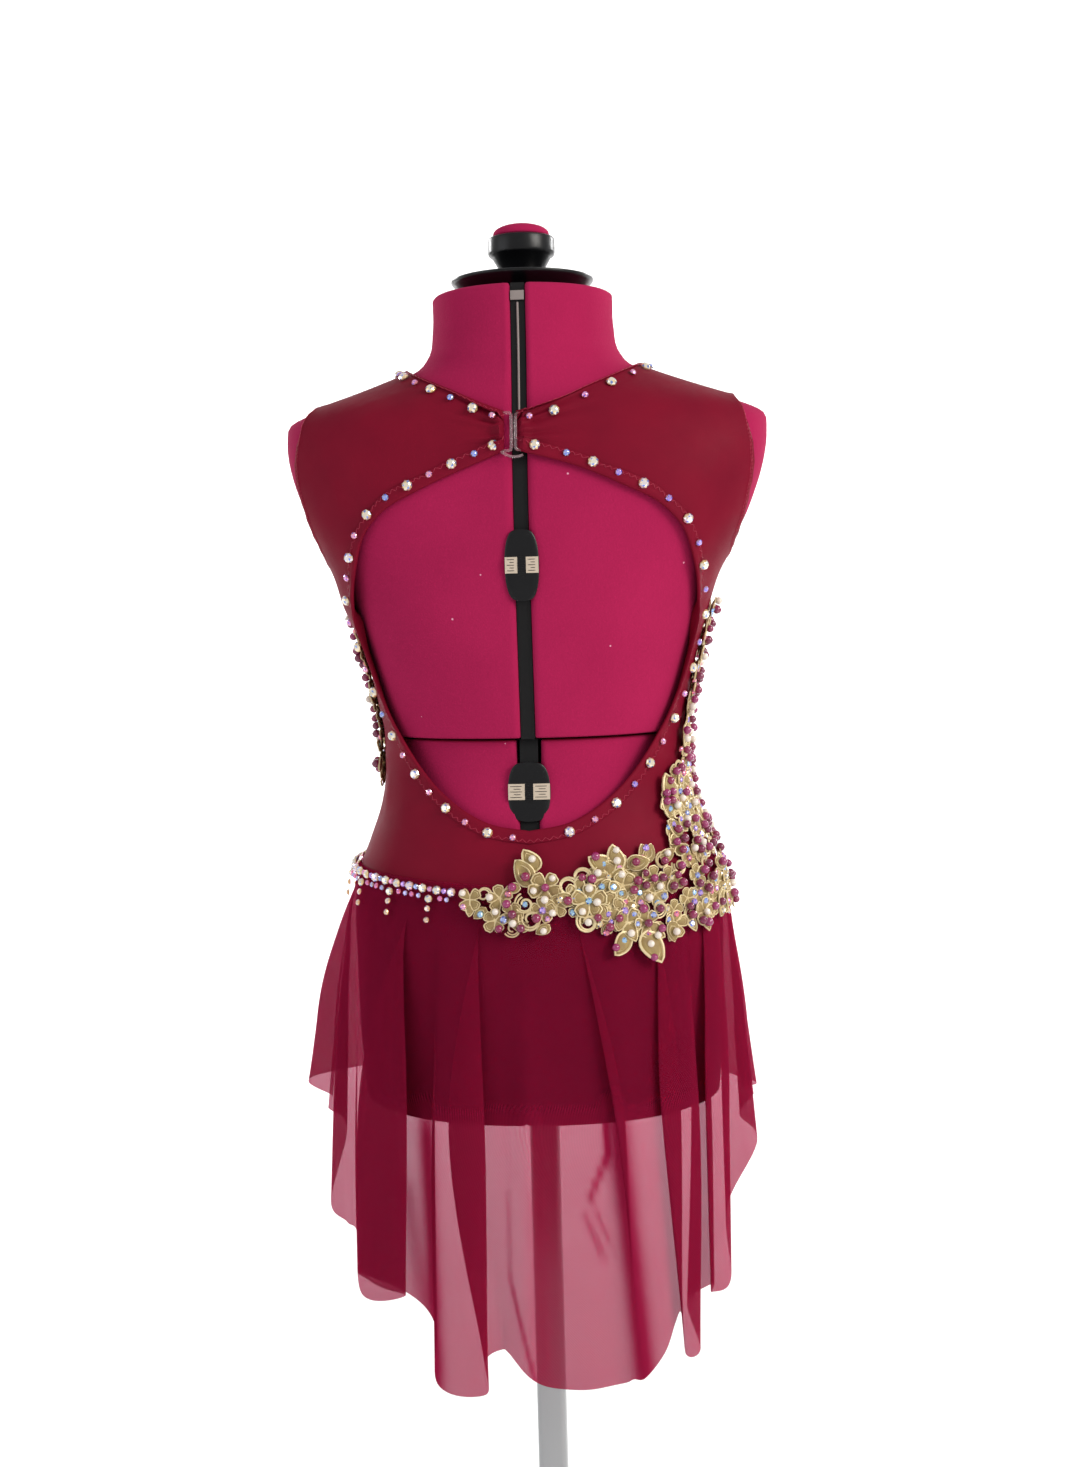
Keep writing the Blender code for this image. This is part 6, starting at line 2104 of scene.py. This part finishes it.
    def patch(self, key: str, rows: tuple, level: bool, spacing: float) -> None:
        """Fills a patch with blooms, leaves, scrolls and beads between its two edges.

        Args:
            key: Which patch it is.
            rows: Stations along the patch, each with its two edges.
            level: True where the stations are angles and the edges heights, False where it is the reverse.
            spacing: Distance between motifs.
        """
        table, chance = np.array(rows), self.chance
        step = spacing / 1.9 if level else spacing
        for line, station in enumerate(np.arange(table[0, 0] + step / 2, table[-1, 0], step)):
            a, b = through(table[:, 0], table[:, 1:], np.array([station]))[0]
            count = max(1, int(round(abs(b - a) * (1.0 if level else 1.9) / spacing)))
            for k in range(count):
                shift = 0.5 + 0.3 * (line % 2 - 0.5) + chance.uniform(-0.12, 0.12)
                across = min(1.0, max(0.0, (k + shift) / count))
                here = a + (b - a) * across
                spot = (station, here) if level else (here, station)
                size, over = chance.uniform(7.5, 10.5), chance.uniform(0.0, 1.5)
                if abs(across - 0.5) * count > count / 2 - 0.8:
                    away = (90.0 if across > 0.5 else -90.0) - (0.0 if level else 90.0)
                    turn = away + chance.uniform(-50.0, 50.0)
                    beads = str(chance.choice(("b", "s", "p", "bs")))
                    self.motif(key, LEAF, *spot, turn, size * 1.25, beads, over)
                pick = chance.random()
                if pick < 0.6:
                    beads = "".join(chance.choice(list("pbbsss----"), 6))
                    self.motif(key, BLOOM, *spot, chance.uniform(0, 72), size, beads, over)
                elif pick < 0.85:
                    self.motif(key, SCROLL, *spot, chance.uniform(0, 360), size * 1.4, "b", over + 0.6)
                else:
                    self.motif(key, LEAF, *spot, chance.uniform(0, 360), size * 1.2, "bs", over + 0.6)

    def drop(self, angle: float, top: float) -> None:
        """A hanging row of three stones: one large, then two of falling size set further apart."""
        for down, size, tint in ((0.0, 5.6, "#FFF4D8"), (6.2, 4.4, "#FFDCC8"), (13.4, 4.2, "#FFCFA8")):
            self.sparkle(angle, top - down, 1.6, size, tint)

    def belt(self) -> None:
        """Adds large stones along the hip seam with small ones between, and drops and pairs under them."""
        angle, k = -31.5, 0
        while angle > -108.0:
            line = float(DRESS.seam(angle)) + 2.0 - self.belt_fall * (angle + 108.0) / 76.5
            self.sparkle(angle, line, 1.6, 6.2, "#FFF6E2" if k % 3 else "#FFE9F4")
            angle, _ = self.moved(angle, line, 180.0, self.belt_step)
            self.sparkle(angle, line + 0.6, 1.6, 4.0, ("#C77CFF", "#F27AD2", "#8FA8FF")[k % 3])
            if k % 3 == 1:
                self.drop(angle, line - 5.6)
            else:
                self.sparkle(angle - 1.2, line - 4.2, 1.6, 3.9, "#FF4FC0")
                self.sparkle(angle + 1.4, line - 4.8, 1.6, 3.7, "#B9B4FF")
            angle, _ = self.moved(angle, line, 180.0, self.belt_step)
            k += 1
        for angle in (79.0, 92.0):
            self.drop(angle, float(DRESS.seam(angle)) - 20.0)

    def build(self) -> None:
        """Lays out every motif, then makes all copies."""
        for kind, x, height, turn, size, beads in self.hip_motifs:
            skin = BODY.back(x, height)
            angle = math.degrees(math.atan2(skin[0], -skin[1]))
            self.motif("hip", kind, angle, height, turn, size, beads, 1.6)
        self.patch("hip", self.dense_patch, True, 10.5)
        self.patch("right", self.right_patch, False, 11.0)
        self.patch("left", self.left_patch, False, 11.0)
        self.belt()
        for (key, form), copies in self.fill.items():
            petals = form == "petals"
            shape = Petal(round_half, 0.0) if petals else Petal(leaf_half, 0.22)
            copies.build(shape.filling(), *([f"applique_{key}"] if petals else []))
            self.cord[key, form].build(shape.cords())
        self.scrolls.build(scroll_shape())
        self.pearls.build(bead_shape())
        self.stones.build(stone_shape())


@dataclass
class EdgeStones:
    """Set stones along the bands: large clear ones in turn with small tinted ones.

    For the start and the end of a band, a row gives the first stone's place, the step to the second and the
    step after it, whether the first is large, and the distance in from the edge.
    """

    large: float = 7.2
    small: float = 4.7
    large_tints: tuple = ("#FFF6E0", "#FFEFD0", "#FFF2F4")
    small_tints: tuple = ("#F07AD8", "#86A2FF", "#FF8FCB", "#B07CFF")
    tab_lift: float = 2.0
    keyhole: tuple = ((5.4, 13.4, 16.0, True, 5.5), (11.6, 20.8, 17.6, True, 5.5))
    neckline: tuple = ((7.7, 15.6, 21.3, False, 6.0), (5.4, 13.9, 16.6, False, 6.0))
    seed: int = 5

    def run(self, copies: Copies, band: Band, rows: tuple) -> None:
        """Sets stones along a band from both of its ends to the middle.

        Args:
            copies: The stones.
            band: The band.
            rows: How they follow each other from its start and from its end.
        """
        chance = np.random.default_rng(self.seed)
        for (at, step, pitch, large, inset), from_end in zip(rows, (False, True)):
            while at < band.length() / 2 - pitch / 4:
                reached = band.length() - at if from_end else at
                place, ahead, out = band.at(reached, 0.0, 1.25)
                side = np.cross(out, ahead)
                side *= np.sign(side @ (band.at(reached, 1.0, 1.25)[0] - place))
                size = self.large if large else self.small
                tints = self.large_tints if large else self.small_tints
                tilt = unit(out + 0.12 * chance.uniform(-1, 1, 3))
                place = place + side * inset + out * self.tab_lift * math.exp(-at / 9.0)
                copies.add(place, ahead, tilt, (size, size, size * 0.95), str(chance.choice(tints)))
                at, step, large = at + step, pitch, not large

    def build(self, bodice: Bodice) -> None:
        """Sets stones round the keyhole and along the neckline.

        Args:
            bodice: The bodice, built.
        """
        copies = Copies("edge_stones", CRYSTAL, Slot.JERSEY)
        self.run(copies, bodice.key_edge, self.keyhole)
        self.run(copies, bodice.neck_edge, self.neckline)
        copies.build(stone_shape())


@dataclass
class Closure:
    """The clear swimwear hook on the left tab and the bar on the right: each a middle, width and height."""

    height: float = 1136.0
    hook: tuple = (-8.65, 8.0, 25.0)
    bar: tuple = (0.55, 5.0, 24.0)
    wire: float = 1.1
    corner: float = 2.2
    free_out: float = 6.0
    held_out: float = 3.2
    tongue: tuple = (13.5, 0.9)

    def loop(self, side: Side, size: tuple[float, float, float]) -> Array:
        """Draws a rounded loop: one leg lies under its tab's fold, the other stands free.

        Args:
            side: Its tab's side.
            size: Its middle in x, width and height.

        Returns:
            Its centre line.
        """
        centre, wide, tall = size
        line = []
        for cx, cz, start in ((1, 1, 0), (-1, 1, 90), (-1, -1, 180), (1, -1, 270)):
            for a in np.radians(start + np.linspace(0.0, 90.0, 7)):
                x = centre + cx * (wide / 2 - self.corner) + self.corner * math.cos(a)
                z = self.height + cz * (tall / 2 - self.corner) + self.corner * math.sin(a)
                held = 0.5 + side.value * (x - centre) / wide
                out = self.free_out + (self.held_out - self.free_out) * held
                line.append(BODY.back(x, z) - np.array([0.0, out, 0.0]))
        return np.array(line)

    def build(self) -> None:
        """Builds the hook's loop, the bar and the tongue that joins them below."""
        loops = (("closure_hook", Side.LEFT, self.hook), ("closure_bar", Side.RIGHT, self.bar))
        for name, side, size in loops:
            made = add_tube(name + "_clear", self.loop(side, size), self.wire, 14, closed=True)
            settle(made, CLEAR_NYLON, Slot.CLEAR, name)
        t = np.linspace(0.0, 1.0, 24)
        length, radius = self.tongue
        heights = self.height - 13.6 - 3.0 * np.sin(t * math.pi * 0.8)
        line = BODY.back(self.hook[0] - 2.0 + length * t, heights)
        line[:, 1] -= self.free_out + 0.4 + np.sin(t * math.pi)
        settle(add_tube("closure_tongue_clear", line, radius, 12), CLEAR_NYLON, Slot.CLEAR)


@dataclass
class Studio:
    """Pale floor and wall, soft daylight from the right, and the camera. Lengths are in metres."""

    distance: float = 1.18
    eye: float = 1.032
    azimuth: float = 3.5
    pitch: float = -4.8
    roll: float = -1.535
    lens_px: float = 1680.0
    image: tuple[int, int] = (1080, 1467)
    axis_px: float = 534.3
    daylight: float = 0.54
    key: float = 42.0
    fill: float = 9.0
    wash: float = 125.0
    wall_away: float = 5.2
    wall_high: float = 7.0
    wall_half: float = 8.0
    cove: float = 0.6

    def camera(self) -> None:
        """Places the camera where the photograph was taken from."""
        data = bpy.data.cameras.new("camera")
        data.sensor_width = 36.0
        data.lens = self.lens_px * data.sensor_width / self.image[1]
        made = bpy.data.objects.new("camera", data)
        bpy.context.scene.collection.objects.link(made)
        a, p = math.radians(self.azimuth), math.radians(self.pitch)
        place = Vector((self.distance * math.sin(a), -self.distance * math.cos(a), self.eye))
        ahead = Vector((-math.sin(a) * math.cos(p), math.cos(a) * math.cos(p), math.sin(p)))
        right = ahead.cross(Vector((0, 0, 1))).normalized()
        up = right.cross(ahead).normalized()
        yaw = math.atan2(self.axis_px - self.image[0] / 2, self.lens_px)
        turn = Matrix.Rotation(yaw, 3, up) @ Matrix((right, up, -ahead)).transposed()
        turn = turn @ Matrix.Rotation(math.radians(self.roll), 3, "Z")
        made.matrix_world = Matrix.Translation(place) @ turn.to_4x4()
        bpy.context.scene.camera = made

    def light(
        self, name: str, place: tuple, at: tuple, size: float, power: float, colour: str = "#FFFFFF"
    ) -> None:
        """Adds a square light.

        Args:
            name: Its name.
            place: Where it stands.
            at: Where it looks.
            size: Its side.
            power: Its watts.
            colour: Its colour.
        """
        data = bpy.data.lights.new(name, "AREA")
        data.shape, data.size, data.energy = "SQUARE", size, power
        data.color = linear(colour)[:3]
        made = bpy.data.objects.new(name, data)
        made.location = place
        made.rotation_euler = (Vector(at) - Vector(place)).to_track_quat("-Z", "Y").to_euler()
        bpy.context.scene.collection.objects.link(made)

    def build(self) -> None:
        """Builds the floor with its wall, the world and the lights."""
        start = self.wall_away - self.cove
        bend = np.radians(np.arange(10, 91, 10))
        curve = [(-5.0, 0.0), (start, 0.0)]
        curve += [(start + self.cove * math.sin(a), self.cove - self.cove * math.cos(a)) for a in bend]
        curve += [(self.wall_away, self.wall_high)]
        points = [(x, y, z - 0.0002) for y, z in curve for x in (-self.wall_half, self.wall_half)]
        faces = [(2 * i, 2 * i + 1, 2 * i + 3, 2 * i + 2) for i in range(len(curve) - 1)]
        floor = add_mesh("studio_floor", np.array(points) / MM, faces)
        floor.data.materials.append(WALL_PAINT.material())
        world = bpy.data.worlds.new("studio_light")
        bpy.context.scene.world = world
        world.use_nodes = True
        wire(world.node_tree, world.node_tree.nodes["Background"], {0: "#FFFFFF", 1: self.daylight})
        bpy.context.scene.view_settings.view_transform = "Standard"
        self.light("window_right", (1.9, -1.3, 1.95), (0.0, 0.0, 0.95), 1.2, self.key, "#FFFBF4")
        self.light("fill_left", (-2.2, -1.1, 1.4), (0.0, 0.0, 0.95), 1.8, self.fill, "#F4F7FF")
        for side in Side:
            place = (side.value * 2.9, self.wall_away - 2.2, 2.2)
            at = (0.0, self.wall_away - 1.0, 0.2)
            self.light(f"wall_lamp_{side.name.lower()}", place, at, 1.2, self.wash)
        self.camera()


def main() -> None:
    """Builds every sub-assembly in order and reports its pieces."""
    logging.basicConfig(level=logging.INFO, format="%(name)s: %(message)s")
    Studio().build()
    DressForm().build()
    bodice = Bodice()
    bodice.build()
    Trunk().build()
    Skirt().build()
    EdgeStones().build(bodice)
    Lacework().build()
    Closure().build()


if __name__ == "__main__":
    main()
